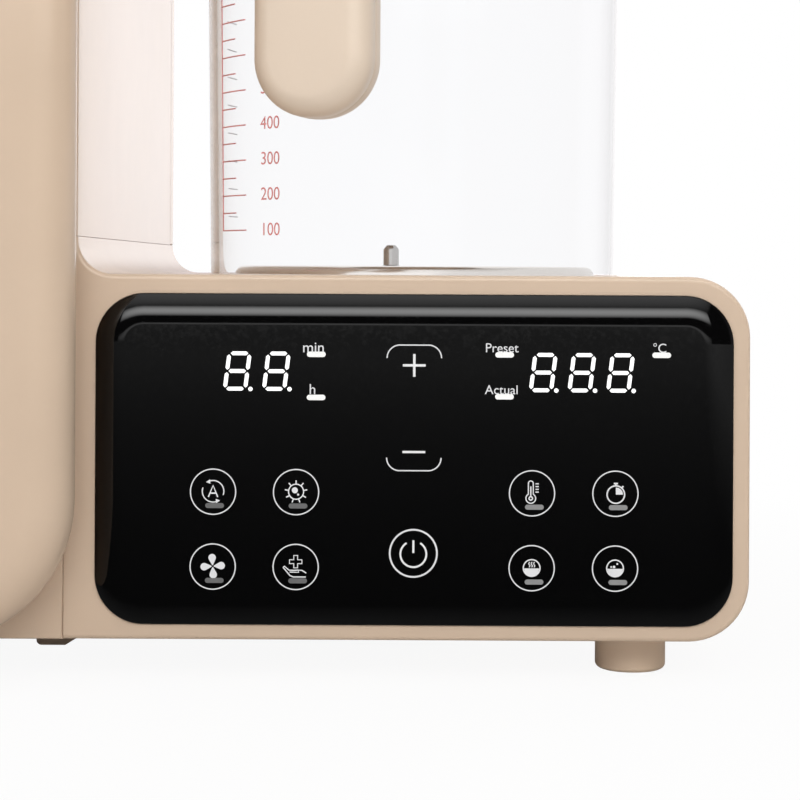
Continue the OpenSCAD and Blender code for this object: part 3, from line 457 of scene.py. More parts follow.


# Base feet: two round feet under the right end of the base, turned shapes with a rounded foot edge.
# They are moulded in the plastic of the skids, with the same paler paint against the shade under the base,
# and pressed into the base.
def turned(name, profile, axis_x, axis_y, steps):
    axis = Vector((axis_x, axis_y, 0)) * 0.001
    first_r, first_z = profile[0]
    unselect()
    bpy.ops.mesh.primitive_plane_add(size=0.001, calc_uvs=False, location=(0, 0, 0))
    piece = bpy.context.object
    piece.name = name
    piece.data.name = name
    open_mesh("SELECT", "VERT")
    bpy.ops.mesh.merge(type="CENTER")
    bpy.ops.transform.translate(value=axis + Vector((first_r, 0, first_z)) * 0.001)
    for (last_r, last_z), (r, z) in zip(profile, profile[1:]):
        move = ((r - last_r) * 0.001, 0, (z - last_z) * 0.001)
        bpy.ops.mesh.extrude_vertices_move(TRANSFORM_OT_translate={"value": move})
    bpy.ops.mesh.select_all(action="SELECT")
    bpy.ops.mesh.spin(steps=steps, angle=2 * math.pi, center=axis, axis=(0, 0, 1))
    bpy.ops.mesh.select_all(action="SELECT")
    bpy.ops.mesh.remove_doubles(threshold=weld_m)
    bpy.ops.mesh.normals_make_consistent(inside=False)
    close_mesh()
    return piece


def arc(radius, start, end, steps, x=0, z=0):
    angles = [math.radians(start + (end - start) * i / steps) for i in range(steps + 1)]
    return [(x + radius * math.cos(a), z + radius * math.sin(a)) for a in angles]


def laid(piece, place_m, turn):
    piece.rotation_euler = turn
    piece.location = place_m
    activate(piece)
    bpy.ops.object.transform_apply(location=True, rotation=True, scale=True)
    return piece


foot_x = 182.6
front_foot_y = -67.5
feet_apart = 156
foot_profile = [(0, 0.3), (5.5, 0.3), (5.8, 0)] + arc(1.4, -90, 0, 6, 7.6, 1.4)
foot_profile += [(9, 9.3), (8.6, 9.7), (8.6, 10), (0, 10)]
front_foot = turned("foot_front", foot_profile, foot_x, front_foot_y, 64)
smooth(front_foot, 35)
back_foot = laid(copied(front_foot, "foot_back"), (0, feet_apart * 0.001, 0), (0, 0, 0))
for foot in (front_foot, back_foot):
    hand_in(foot, "housing", "foot_plastic", shade_lightened_foot_paint, "base_feet")

# Control panel: a glossy black plastic plate let into the base front, with a rim that falls away in an arc.
# It was moulded in one piece; the glossy face carries fine dust and a faint unevenness.
panel_x = 126.8
panel_z = 54.85
panel_w = 157.6
panel_h = 81.6
panel_back_y = -85.5
panel_corner_r = 12
panel_wall_h = 2.56
rim_r = 12
rim_angle = math.radians(38.7)
rim_steps = 12
unselect()
bpy.ops.mesh.primitive_plane_add(size=1, location=(0, 0, 0))
panel = bpy.context.object
panel.name = "panel_plate"
open_mesh("SELECT", "EDGE")
bpy.ops.transform.resize(value=(panel_w * 0.001, panel_h * 0.001, 1))
bpy.ops.mesh.bevel(offset=panel_corner_r * 0.001, segments=20, affect="VERTICES", clamp_overlap=False)
bpy.ops.mesh.select_all(action="SELECT")
bpy.ops.mesh.extrude_region_move(TRANSFORM_OT_translate={"value": (0, 0, panel_wall_h * 0.001)})
last_out = rim_r * math.sin(rim_angle)
last_up = rim_r * math.cos(rim_angle)
for step in range(1, rim_steps + 1):
    tilt = rim_angle * (1 - step / rim_steps)
    out = rim_r * math.sin(tilt)
    up = rim_r * math.cos(tilt)
    bpy.ops.mesh.inset(thickness=(last_out - out) * 0.001, depth=0, use_even_offset=True)
    bpy.ops.transform.translate(value=(0, 0, (up - last_up) * 0.001))
    last_out = out
    last_up = up
bpy.ops.mesh.select_all(action="SELECT")
bpy.ops.mesh.normals_make_consistent(inside=False)
close_mesh()
laid(panel, Vector((panel_x, panel_back_y, panel_z)) * 0.001, (math.radians(90), 0, 0))
smooth(panel, 35)
panel_paint, panel_tree, panel_shader, panel_spot = new_paint("panel_black_paint")
uneven = noise(panel_tree, panel_spot, 35, 1)
dust = noise(panel_tree, panel_spot, 900, 2)
panel_looks = {
    "Base Color": (0.0012, 0.0012, 0.0013, 1),
    "IOR": 1.5,
    "Roughness": graded(panel_tree, dust, 0.45, 0.8, 0.04, 0.12),
    "Normal": relief(panel_tree, uneven, 0.02, 0.0002),
}
fill(panel_tree, panel_shader, panel_looks)
hand_in(panel, "housing", "panel_black", panel_paint, "control_panel")

# Display digits: bars of white light behind the panel, two digits for time and three for warmth.
# Each bar has pointed ends and leans a little, and a round point stands at the foot of each digit.
print_y = -90.93


def placed(piece, x, z, turn=0):
    place_m = Vector((panel_x + x, print_y, z)) * 0.001
    return laid(piece, place_m, (math.radians(90), math.radians(turn), 0))


def flat_bar(x, z, length, width, turn, ends):
    nearly_half_m = 0.00049
    unselect()
    bpy.ops.mesh.primitive_plane_add(size=0.001, location=(0, 0, 0))
    piece = bpy.context.object
    open_mesh()
    bpy.ops.transform.resize(value=(length, width, 1))
    bpy.ops.mesh.bevel(offset=width * nearly_half_m, segments=ends, affect="VERTICES", clamp_overlap=False)
    close_mesh()
    return placed(piece, x, z, turn)


def flat_disc(x, z, radius, sides):
    unselect()
    bpy.ops.mesh.primitive_circle_add(
        vertices=sides, radius=radius * 0.001, fill_type="NGON", location=(0, 0, 0)
    )
    return placed(bpy.context.object, x, z)


def joined(pieces, name):
    unselect()
    for piece in pieces:
        piece.select_set(True)
    bpy.context.view_layer.objects.active = pieces[0]
    bpy.ops.object.join()
    whole = bpy.context.object
    whole.name = name
    whole.data.name = name
    return whole


def lit(name, colour, strength, scale):
    paint, tree, shader, spot = new_paint(name)
    cloud = noise(tree, spot, scale, 2)
    looks = {
        "Base Color": [c * 0.4 for c in colour] + [1],
        "Roughness": 0.4,
        "Emission Color": list(colour) + [1],
        "Emission Strength": graded(tree, cloud, 0, 1, strength * 0.85, strength * 1.15),
    }
    fill(tree, shader, looks)
    return paint


def digit(x, z):
    lean_angle = 7
    lean = math.tan(math.radians(lean_angle))
    bar_w = 0.95
    row_l = 4.3
    side_l = 3.8
    row_rise = 4.35
    side_rise = 2.18
    side_shift = 2.5
    bars = []
    for row in (-1, 0, 1):
        bars.append(flat_bar(x + row * row_rise * lean, z + row * row_rise, row_l, bar_w, 0, 1))
    for side in (-1, 1):
        for row in (-1, 1):
            bar_x = x + side * side_shift + row * side_rise * lean
            bars.append(flat_bar(bar_x, z + row * side_rise, side_l, bar_w, 90 + lean_angle, 1))
    return bars


digit_z = 76.8
point_z = 72.4
point_shift = 3.25
point_r = 0.55
digit_bars = []
for x in (-43.6, -34, 31.6, 41.1, 50.6):
    digit_bars += digit(x, digit_z)
    digit_bars.append(flat_disc(x + point_shift, point_z, point_r, 16))
display_paint = lit("display_light_paint", (1, 1, 1), 1, 400)
hand_in(joined(digit_bars, "display_digits"), "housing", "panel_black", display_paint)

# Status lights: short white pills under the words beside the displays, lit from behind.
# They have rounded ends.
pill_l = 4.6
pill_ends = 6
status_w = 1.35
status_places = ((-24.2, 81), (-24.2, 70.4), (22.1, 81.1), (22.1, 70.8), (60.7, 81.2))
pills = [flat_bar(x, z, pill_l, status_w, 0, pill_ends) for x, z in status_places]
status_paint = lit("status_light_paint", (0.82, 0.82, 0.8), 0.8, 900)
hand_in(joined(pills, "status_lights"), "housing", "panel_black", status_paint)

# Key lights: grey pills under the pictograms, not lit; their grey is a faint painted glow.
# They are thin milky windows in the black lacquer, and those at the right glow a little brighter.
key_light_w = 1.25
key_light_z = (43.7, 25.3)
for side_name, pill_x, grey in (("left", (-49, -28.5), 0.12), ("right", (29.6, 50.2), 0.22)):
    pills = [flat_bar(x, z, pill_l, key_light_w, 0, pill_ends) for x in pill_x for z in key_light_z]
    painted_glow_pill_paint = lit("key_light_painted_glow_paint_" + side_name, (grey, grey, grey), 0.8, 900)
    hand_in(joined(pills, "key_lights_" + side_name), "housing", "panel_black", painted_glow_pill_paint)


# Key rings: fine pale circles printed round the touch keys, and brackets at the plus and minus keys.
# The print is a thin raised line of pale paint that carries a faint painted glow.
def flattened(piece):
    print_height = 0.15
    open_mesh()
    bpy.ops.transform.resize(value=(1, 1, print_height), center_override=(0, 0, 0))
    close_mesh()
    return piece


def ring(x, z, radius, width):
    unselect()
    bpy.ops.mesh.primitive_torus_add(
        location=(0, 0, 0), major_radius=radius * 0.001, minor_radius=width * 0.0005,
        major_segments=72, minor_segments=8
    )
    return placed(flattened(bpy.context.object), x, z)


def traced(points_m, width, roundness, closed=False, filled=False):
    curve = bpy.data.curves.new("line", "CURVE")
    if filled:
        curve.dimensions = "2D"
        curve.fill_mode = "BOTH"
    else:
        curve.dimensions = "3D"
        curve.bevel_depth = width * 0.0005
        curve.bevel_resolution = roundness
        curve.use_fill_caps = True
    spline = curve.splines.new("POLY")
    spline.points.add(len(points_m) - 1)
    for spot, point in zip(spline.points, points_m):
        spot.co = list(point) + [1]
    spline.use_cyclic_u = closed
    piece = bpy.data.objects.new("line", curve)
    scene.collection.objects.link(piece)
    activate(piece)
    bpy.ops.object.convert(target="MESH")
    return bpy.context.object


def stroke(x, z, points, width, closed=False):
    points_m = [(u * 0.001, v * 0.001, 0) for u, v in points]
    return placed(flattened(traced(points_m, width, 2, closed)), x, z)


# The panel print glows faintly: painted light on top of its pale colour.
glowing_print_paint = lit("panel_print_painted_glow_paint", (0.66, 0.66, 0.67), 0.75, 300)
fine = 0.28
middle_x = -0.1
key_x = (-49.4, -29, 29, 49.5)
key_z = (47.1, 28.7)
ring_r = 5.56
power_ring_z = 32.2
power_ring_r = 5.8
power_ring_w = 0.42
bracket_z = (83.4, 52.5)
bracket_w = 0.3
lines = [ring(x, z, ring_r, fine) for x in key_x for z in key_z]
lines.append(ring(middle_x, power_ring_z, power_ring_r, power_ring_w))
bracket = arc(3.2, 180, 95, 8, -3.5, -3.2) + arc(3.2, 85, 0, 8, 3.5, -3.2)
lines.append(stroke(middle_x, bracket_z[0], bracket, bracket_w))
lines.append(stroke(middle_x, bracket_z[1], [(u, -v) for u, v in bracket], bracket_w))
key_rings = joined(lines, "key_rings")
finished(key_rings, 60, "housing", "panel_black", glowing_print_paint)


# Key pictograms: plain line drawings printed in the rings with the same faint painted glow, one for each
# programme.
# From the left: automatic, germ, fan, care, thermometer, timer, steam bowl and washing bowl.
def patch(x, z, points):
    points_m = [(u * 0.001, v * 0.001, 0) for u, v in points]
    return placed(traced(points_m, 0, 0, True, True), x, z)


def swung(points, turn):
    cos = math.cos(math.radians(turn))
    sin = math.sin(math.radians(turn))
    return [(u * cos - v * sin, u * sin + v * cos) for u, v in points]


auto = (key_x[0], key_z[0] + 0.1)
lines = [
    stroke(*auto, arc(2.65, -20, 115, 14), fine),
    stroke(*auto, arc(2.65, 160, 295, 14), fine),
    patch(*auto, [(-0.75, 2.95), (-1.75, 2.25), (-0.65, 1.85)]),
    patch(*auto, [(0.75, -2.95), (1.75, -2.25), (0.65, -1.85)]),
    stroke(*auto, [(-1.15, -1.4), (0, 1.45), (1.15, -1.4)], 0.36),
    stroke(*auto, [(-0.7, -0.45), (0.7, -0.45)], 0.32),
]
germ = (key_x[1], key_z[0] + 0.1)
lines.append(ring(*germ, 1.85, fine))
for turn in range(10, 370, 40):
    lines.append(stroke(*germ, swung([(1.9, 0), (2.8, 0)], turn), 0.3))
lines.append(flat_disc(germ[0] - 0.3, germ[1] + 0.35, 0.75, 16))
lines.append(flat_disc(germ[0] + 0.5, germ[1] - 0.7, 0.27, 12))
fan_sign = (key_x[0], key_z[1] + 0.1)
blade = [(0.25, -0.1)] + arc(0.92, -120, 120, 14, 2.1, 0) + [(0.25, 0.1)]
for turn in (4, 94, 184, 274):
    lines.append(patch(*fan_sign, swung(blade, turn)))
care = (key_x[1], key_z[1])
half_cross = [(0.475, 1.52), (0.475, 0.475), (1.52, 0.475), (1.52, -0.475), (0.475, -0.475), (0.475, -1.52)]
cross = half_cross + [(-u, -v) for u, v in half_cross]
lines += [
    stroke(care[0], care[1] + 1.3, cross, fine, True),
    stroke(*care, [(-3.1, -0.1), (-2.75, 0.15), (-1.6, -0.8), (-0.4, -0.85), (0.6, -0.75)], fine),
    stroke(*care, [(-1.5, -1.25), (0.75, -1.3), (0.6, -0.75), (1.6, -0.85), (2.6, -1.5)], fine),
    stroke(*care, [(-3.1, -0.1), (-1.4, -2.1), (-0.6, -2.45), (2.5, -2.45)], fine),
]
warmth = (key_x[2] - 0.3, key_z[0])
flask = arc(0.6, 0, 180, 8, 0, 2.45) + arc(1.2, 120, 420, 18, 0, -1.25)
lines += [
    stroke(*warmth, flask, fine, True),
    ring(warmth[0], warmth[1] - 1.25, 0.42, 0.32),
    stroke(*warmth, [(0, -0.8), (0, 1.7)], 0.32),
]
for row in range(4):
    mark_z = 2.35 - 0.68 * row
    lines.append(stroke(*warmth, [(1.15, mark_z), (1.95, mark_z)], fine))
timer = (key_x[3] + 0.1, key_z[0] - 0.2)
lines += [
    ring(*timer, 2.15, 0.34),
    patch(*timer, [(0, 0)] + arc(1.75, 0, 90, 10)),
    stroke(*timer, [(-0.5, 2.7), (0.5, 2.7)], 0.4),
    stroke(*timer, [(0, 2.2), (0, 2.7)], 0.4),
    stroke(*timer, [(1.5, 1.75), (1.85, 2.1)], 0.4),
]
steam_bowl = (key_x[2], key_z[1] + 0.05)
washing_bowl = (key_x[3], key_z[1] + 0.05)
for bowl in (steam_bowl, washing_bowl):
    lines.append(ring(*bowl, 2.05, 0.3))
    lines.append(patch(*bowl, arc(1.85, 180, 360, 20, 0, -0.1)))
for shift in (-0.6, 0, 0.6):
    wisp = [(shift, 0.15), (shift + 0.2, 0.55), (shift - 0.15, 1), (shift + 0.1, 1.5)]
    lines.append(stroke(*steam_bowl, wisp, 0.26))
for shift, rise, bubble_r in ((-0.95, 0.35, 0.22), (-0.25, 0.35, 0.34), (0.55, 1.1, 0.24)):
    lines.append(flat_disc(washing_bowl[0] + shift, washing_bowl[1] + rise, bubble_r, 12))
pictograms = joined(lines, "key_pictograms")
finished(pictograms, 60, "housing", "panel_black", glowing_print_paint)

# Plus, minus and power signs: printed strokes with a faint painted glow, a little stronger than the
# pictograms.
# They mark the three keys in the middle of the panel.
plus_z = 78.4
minus_z = 57.1
power_z = 32
lines = [
    stroke(middle_x, plus_z, [(-2.8, 0), (2.8, 0)], 0.6),
    stroke(middle_x, plus_z, [(0, -2.8), (0, 2.8)], 0.6),
    stroke(middle_x, minus_z, [(-2.8, 0), (2.8, 0)], 0.55),
    stroke(middle_x, power_z, arc(3.2, 122, 418, 30), 0.45),
    stroke(middle_x, power_z, [(0, 0.3), (0, 3.4)], 0.5),
]
signs = joined(lines, "key_signs")
finished(signs, 60, "housing", "panel_black", lit("key_sign_painted_glow_paint", (0.72, 0.72, 0.72), 0.75, 300))


# Printed words: the units of the displays, and two plain words for the wanted and the present warmth.
# They are thin pale print with the same faint painted glow, set as letters and made into a mesh.
def word(text, x, z, size, settle):
    unselect()
    bpy.ops.object.text_add(location=(0, 0, 0))
    letters = bpy.context.object
    letters.data.body = text
    letters.data.size = size * 0.001
    letters.data.align_x = "CENTER"
    letters.data.align_y = "CENTER"
    letters.data.extrude = 0.00002
    bpy.ops.object.convert(target="MESH")
    return settle(bpy.context.object, x, z)


words = [
    word("min", -24.9, 82.6, 3.7, placed),
    word("h", -25.1, 72.3, 3.6, placed),
    word("Preset", 21.4, 82.7, 3.2, placed),
    word("Actual", 21.4, 72.4, 3.2, placed),
    word("°C", 60.2, 82.8, 3.2, placed),
]
hand_in(joined(words, "panel_words"), "housing", "panel_black", glowing_print_paint)

# Kettle jar: a clear blown glass wall that widens a little upwards, cut and fire polished at both ends.
# Its foot stands in the kettle bottom, and the collar is bonded over its mouth.
kettle_x = 126.6
kettle_y = 10.5
jar_foot_r = 60
jar_foot_z = 99.5
jar_h = 155
jar_widening = 2
jar_profile = [(jar_foot_r, 100.4), (61.98, 253.4)] + arc(1.1, 0, 180, 8, 60.9, 253.4) + [(57.7, 100.4)]
jar_profile += arc(0.8, 180, 270, 4, 58.5, 100.4) + arc(0.8, 270, 360, 4, 59.2, 100.4)
jar = turned("jar_glass", jar_profile, kettle_x, kettle_y, 160)
clear = glass("clear_glass_paint", (0.984, 0.984, 0.99), 1.16, 0.004, 18)
finished(jar, 40, "kettle", "clear_glass", clear, "kettle_glass")
jar.visible_shadow = False


# Red volume scale: a printed scale with ticks and plain numbers on the left of the jar front.
# The print follows the glass and is thin red enamel.
def on_jar(angle, z, lift):
    radius = jar_foot_r + jar_widening * (z - jar_foot_z) / jar_h + lift
    a = math.radians(angle)
    return Vector((kettle_x + radius * math.sin(a), kettle_y - radius * math.cos(a), z)) * 0.001


def jar_line(points, width):
    return traced([on_jar(angle, z, 0) for angle, z in points], width, 1)


def on_glass(piece, angle, z):
    return laid(piece, on_jar(angle, z, 0.04), (math.radians(90), 0, math.radians(angle)))


scale_foot = 102.9
scale_step = 9.73
scale_left = -64
number_angle = -41
number_size = 5
line_w = 0.4
rule_low = 112.6
rule_high = 239.2
full_mark_z = 219.7
full_mark_w = 0.8
lines = []
for half_step in range(2, 27):
    span = 13 if half_step % 2 == 0 else 8
    tick_z = scale_foot + half_step * scale_step / 2
    lines.append(jar_line([(scale_left + i * span / 4, tick_z) for i in range(5)], line_w))
for hundreds in range(1, 14):
    number_z = scale_foot + hundreds * scale_step
    lines.append(word(str(hundreds * 100), number_angle, number_z, number_size, on_glass))
lines.append(jar_line([(scale_left, rule_low), (scale_left, rule_high)], line_w))
lines.append(jar_line([(scale_left + i * 3, full_mark_z) for i in range(11)], full_mark_w))
red_paint = plastic("red_print_paint", (1, 0.4, 0.42), 0.4, 0.55, 0.05)
hand_in(joined(lines, "red_scale"), "kettle", "clear_glass", red_paint)

# Grey scale: fine ticks on the back left of the jar, for another measure.
# They are printed in the same way in pale grey.
grey_foot = 109.3
grey_step = 8.45
grey_left = -104
grey_line_w = 0.36
lines = []
for step in range(1, 16):
    tick_z = grey_foot + step * grey_step
    lines.append(jar_line([(grey_left - i * 2.5, tick_z) for i in range(4)], grey_line_w))
grey_paint = plastic("grey_print_paint", (0.94, 0.93, 0.95), 0.4, 0.55, 0.05)
hand_in(joined(lines, "grey_scale"), "kettle", "clear_glass", grey_paint)


# Heating plate: a pressed stainless disc with a shallow ring groove and a rounded shoulder.
# Its top is brushed in circles.
def steel(name, colour, rough, ring_scale, axis_x, axis_y):
    paint, tree, shader, spot = new_paint(name)
    centred = add_node(tree, "Mapping", {"Vector": spot, "Location": (-axis_x * 0.001, -axis_y * 0.001, 0)})
    turning = {"Vector": centred, "Scale": ring_scale, "Distortion": 1.5, "Detail": 3}
    rings = add_node(tree, "TexWave", turning, wave_type="RINGS", rings_direction="Z").outputs["Fac"]
    looks = {
        "Base Color": list(colour) + [1],
        "Metallic": 1,
        "Roughness": graded(tree, rings, 0, 1, rough * 0.75, rough * 1.25),
        "Normal": relief(tree, rings, 0.05, 0.0001),
    }
    fill(tree, shader, looks)
    return paint


plate_profile = [(0, 102.9), (43.5, 102.9), (44.2, 102.5), (46.4, 102.5), (47.1, 102.9), (50.2, 102.9)]
plate_profile += arc(2.8, 80, 0, 8, 50.2, 100.1) + [(53, 99.3), (53.4, 99.2), (57.1, 99.2)]
plate_profile += [(57.1, 98), (51.8, 98), (51.8, 101.7), (0, 101.7)]
plate = turned("plate_disc", plate_profile, kettle_x, kettle_y, 128)
plate_paint = steel("plate_steel_paint", (0.9, 0.86, 0.82), 0.2, 700, kettle_x, kettle_y)
finished(plate, 35, "kettle", "polished_steel", plate_paint, "heating_plate")

# Temperature probe: a small turned steel pin through the heating plate, with a chamfered tip.
# It stands off the middle of the plate.
low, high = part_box("temperature_probe")
probe_x = (low.x + high.x) * 500
probe_y = (low.y + high.y) * 500
probe_profile = [(0, 109.4), (1.1, 109.4), (1.5, 109.25), (2.25, 108.3), (2.4, 108), (2.4, 103.3)]
probe_profile += [(2.9, 103), (2.9, 102.95), (2.4, 102.9), (2.4, 96.7), (0, 96.7)]
probe = turned("probe_pin", probe_profile, probe_x, probe_y, 40)
probe_paint = steel("probe_steel_paint", (0.6, 0.59, 0.58), 0.2, 1500, probe_x, probe_y)
finished(probe, 30, "kettle", "polished_steel", probe_paint, "temperature_probe")

# Kettle mouldings: bottom, collar with spout, and the two halves of the free-ended handle.
# They are satin beige plastic, the handle halves painted paler as a painted sheen; a fine groove runs along
# the handle where the halves meet.
kettle_aim = math.radians(-14.9)
kettle_front = Vector((math.sin(kettle_aim), -math.cos(kettle_aim), 0))
kettle_axis = Vector((kettle_x, kettle_y, 0))
split_r = 95.5


def bottom_ends(x, y, z):
    return z < 80 or z > 97


def collar_ends(x, y, z):
    return z > 262 or z < 243


def along_split(x, y, z):
    offset = Vector((x, y, 0)) - kettle_axis
    forwards = offset.dot(kettle_front)
    sideways = offset.cross(kettle_front).length
    return abs(forwards - split_r) < 0.3 and (sideways > 6 or z < 148 or z > 262)


def off_split(x, y, z):
    return not along_split(x, y, z)


moulded(
    "kettle_bottom", "bottom_moulding", "kettle", "beige_plastic", beige, width=0.0004, wanted=bottom_ends
)
moulded(
    "kettle_collar", "collar_moulding", "kettle", "beige_plastic", beige, width=0.0005, wanted=collar_ends
)
# The handle's paler beige is a painted sheen on the same plastic as the body.
handle_beige_painted_sheen = plastic("handle_painted_sheen_paint", (0.74, 0.61, 0.49), 0.29, 0.35, 0.04)
for node in ("handle_outer", "handle_inner"):
    half = merged_copy(node, node + "_moulding")
    round_edges(half, 0.0004, 2, off_split)
    round_edges(half, 0.0009, 2, along_split)
    finished(half, 30, "kettle", "beige_plastic", handle_beige_painted_sheen, node)

# Lid: a turned plastic cap with a soft brim, its skirt fits the collar.
# The knob is a rounded mushroom shape, screwed on from below.
lid_profile = [(17, 275), (40, 274.6)] + arc(3, 75, 0, 8, 58.9, 271.2) + [(61.9, 268.3), (61.6, 268)]
lid_profile += [(51.6, 268), (51.6, 259.4), (51.2, 259), (49.5, 259), (49.1, 259.4), (49.1, 268)]
lid_profile += [(3.2, 268), (3.2, 270), (1.6, 270), (1.6, 275), (17, 275)]
lid = turned("lid_cap_moulding", lid_profile, kettle_x, kettle_y, 128)
finished(lid, 35, "lid", "beige_plastic", beige, "lid_cap")
knob_profile = [(0, 299), (10.5, 299)] + arc(5.8, 85, -5, 10, 11.2, 292.8) + arc(2.6, 0, -90, 6, 14.4, 285.6)
knob_profile += [(9, 283), (8, 282), (8, 275.6), (8.6, 275), (0, 275)]
knob = turned("lid_knob_moulding", knob_profile, kettle_x, kettle_y, 96)
finished(knob, 35, "lid", "beige_plastic", beige, "lid_knob")


# Chamber liner and rails: a folded box of thin stainless sheet behind the front frame, with two rails.
# The sheet is finely brushed from side to side, and the rails are spot welded to it.
def grained(tree, shader, pattern, rough, first, second, strength, depth_m):
    looks = {
        "Base Color": two_tone(tree, pattern, first, second),
        "Roughness": rough,
        "Normal": relief(tree, pattern, strength, depth_m),
    }
    fill(tree, shader, looks)


def brushed(name, colour, rough, stretch):
    paint, tree, shader, spot = new_paint(name)
    shader["Metallic"].default_value = 1
    drawn = add_node(tree, "Mapping", {"Vector": spot, "Scale": stretch})
    hairlines = noise(tree, drawn, 1, 4)
    dull = graded(tree, hairlines, 0, 1, rough * 0.7, rough * 1.3)
    grained(tree, shader, hairlines, dull, [c * 0.88 for c in colour], colour, 0.08, 0.0001)
    return paint


def dress(node, paint):
    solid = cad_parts[node]
    solid.data.materials.clear()
    solid.data.materials.append(paint)


sheet_steel = brushed("brushed_sheet_paint", (0.74, 0.74, 0.75), 0.3, (60, 900, 1500))
dress("chamber_liner", sheet_steel)
moulded("rack_rails", "rail_bars", "housing", "polished_steel", sheet_steel, width=0.0006)

# Racks: two frames of drawn stainless wire with bars spot welded across them.
# Their wires are electropolished, and the ends are rounded.
wire_steel = brushed("wire_steel_paint", (0.78, 0.78, 0.79), 0.16, (900, 60, 900))
for node in ("lower_rack", "upper_rack"):
    moulded(node, node + "_wires", node, "polished_steel", wire_steel, angle=40)

# UV lamps: two sealed quartz tubes under the chamber ceiling, with a metal cap crimped on each end.
# The caps sit in white holders clipped to the ceiling.
quartz = glass("lamp_glass_paint", (0.93, 0.94, 1), 1.45, 0.25, 200)
cap_metal = brushed("cap_metal_paint", (0.7, 0.7, 0.7), 0.25, (300, 900, 900))
low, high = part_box("uv_lamp_tubes")
lamp_half = (high.x - low.x) * 500
lamp_r = (high.z - low.z) * 500
lamp_x = (low.x + high.x) / 2
lamp_z = (low.z + high.z) / 2
tube_r = lamp_r - 0.3
tube_end = lamp_half - 8
tube_profile = [(0, -tube_end)] + arc(2, -90, 0, 5, tube_r - 2, 2 - tube_end)
tube_profile += arc(2, 0, 90, 5, tube_r - 2, tube_end - 2) + [(0, tube_end)]
cap_profile = [(0, 0), (lamp_r - 0.6, 0), (lamp_r, 0.6), (lamp_r, 4), (lamp_r - 0.25, 4.3)]
cap_profile += [(lamp_r - 0.25, 4.9), (lamp_r, 5.2), (lamp_r, 12), (tube_r, 12.2), (tube_r, 9), (0, 8.9)]
tube_pattern = turned("tube_pattern", tube_profile, 0, 0, 40)
cap_pattern = turned("cap_pattern", cap_profile, 0, 0, 40)
caps = []
for row_name, lamp_y in (("front", low.y + lamp_r * 0.001), ("back", high.y - lamp_r * 0.001)):
    tube = copied(tube_pattern, "lamp_tube_" + row_name)
    laid(tube, (lamp_x, lamp_y, lamp_z), (0, math.pi / 2, 0))
    finished(tube, 35, "housing", "lamp_glass", quartz, "uv_lamp_tubes")
    for side in (-1, 1):
        cap_place = (lamp_x + side * lamp_half * 0.001, lamp_y, lamp_z)
        caps.append(laid(copied(cap_pattern, "lamp_cap"), cap_place, (0, -side * math.pi / 2, 0)))
bpy.data.objects.remove(tube_pattern)
bpy.data.objects.remove(cap_pattern)
lamp_caps = joined(caps, "lamp_caps")
finished(lamp_caps, 35, "housing", "screw_steel", cap_metal)
moulded("lamp_holders", "lamp_clips", "housing", "white_plastic", white, width=0.0005)

# Drying fan: a black square frame with a motor on four struts, and a bladed wheel on its shaft.
# Both are moulded; the wheel runs behind the air heater.
fan_black = plastic("fan_plastic_paint", (0.035, 0.036, 0.038), 0.35, 0.5, 0.2)
moulded("fan_frame", "fan_case", "housing", "black_plastic", fan_black)
moulded("fan_impeller", "fan_wheel", "fan", "black_plastic", fan_black)

# Air heater and filter: a block of aluminium fins before the fan, and a pad of open foam behind it.
# The foam is held in the back cover by the slotted plate.
fin_metal = brushed("fin_metal_paint", (0.66, 0.67, 0.68), 0.4, (400, 2500, 400))
dress("air_heater", fin_metal)
foam, foam_tree, foam_shader, foam_spot = new_paint("filter_foam_paint")
cells = add_node(foam_tree, "TexVoronoi", {"Vector": foam_spot, "Scale": 900})
grained(foam_tree, foam_shader, cells, 0.95, (0.012, 0.012, 0.013), (0.09, 0.092, 0.095), 0.9, 0.0006)
dress("air_filter", foam)

# Boards: green circuit boards with copper tracks under the lacquer.
# One stands on white spacers in the cabinet floor and carries black moulded parts, one is behind the panel.
lacquer, lacquer_tree, lacquer_shader, lacquer_spot = new_paint("circuit_board_paint")
tracks = add_node(
    lacquer_tree, "TexVoronoi", {"Vector": lacquer_spot, "Scale": 220},
    feature="DISTANCE_TO_EDGE", distance="MANHATTAN"
)
track_tone = two_tone(lacquer_tree, tracks, (0.06, 0.26, 0.11), (0.02, 0.13, 0.055), 0.06, 0.08)
track_bump = relief(lacquer_tree, track_tone, 0.2, 0.0001)
fill(lacquer_tree, lacquer_shader, {"Base Color": track_tone, "Roughness": 0.35, "Normal": track_bump})
for node in ("power_board", "touch_board"):
    moulded(node, node + "_card", "housing", "circuit_board", lacquer, width=0.0002, segments=1, angle=30)
part_black = plastic("board_part_paint", (0.03, 0.031, 0.034), 0.4, 0.55, 0.25)
for node in ("board_parts", "time_display", "temperature_display"):
    moulded(node, node + "_mouldings", "housing", "black_plastic", part_black, width=0.0004)
moulded("board_standoffs", "board_spacers", "housing", "white_plastic", white, width=0.0003)

# Touch springs: eleven coils of spring wire between the touch board and the back of the panel.
# Each carries one key to the board.
wound_steel = brushed("spring_steel_paint", (0.62, 0.62, 0.63), 0.22, (900, 900, 900))
low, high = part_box("touch_springs")
spring_l = high.y - low.y
coil_turns = 5
coil_r = 0.0026
wire_r = 0.00035
unselect()
bpy.ops.mesh.primitive_circle_add(vertices=8, radius=wire_r, fill_type="NOTHING", location=(0, 0, 0))
coil = bpy.context.object
open_mesh()
bpy.ops.transform.rotate(value=math.pi / 2, orient_axis="X", center_override=(0, 0, 0))
bpy.ops.transform.translate(value=(coil_r, 0, wire_r))
close_mesh()
wind = coil.modifiers.new("wind", "SCREW")
wind.screw_offset = (spring_l - 2 * wire_r) / coil_turns
wind.iterations = coil_turns
wind.steps = 20
wind.render_steps = 20
bpy.ops.object.modifier_apply(modifier=wind.name)
open_mesh()
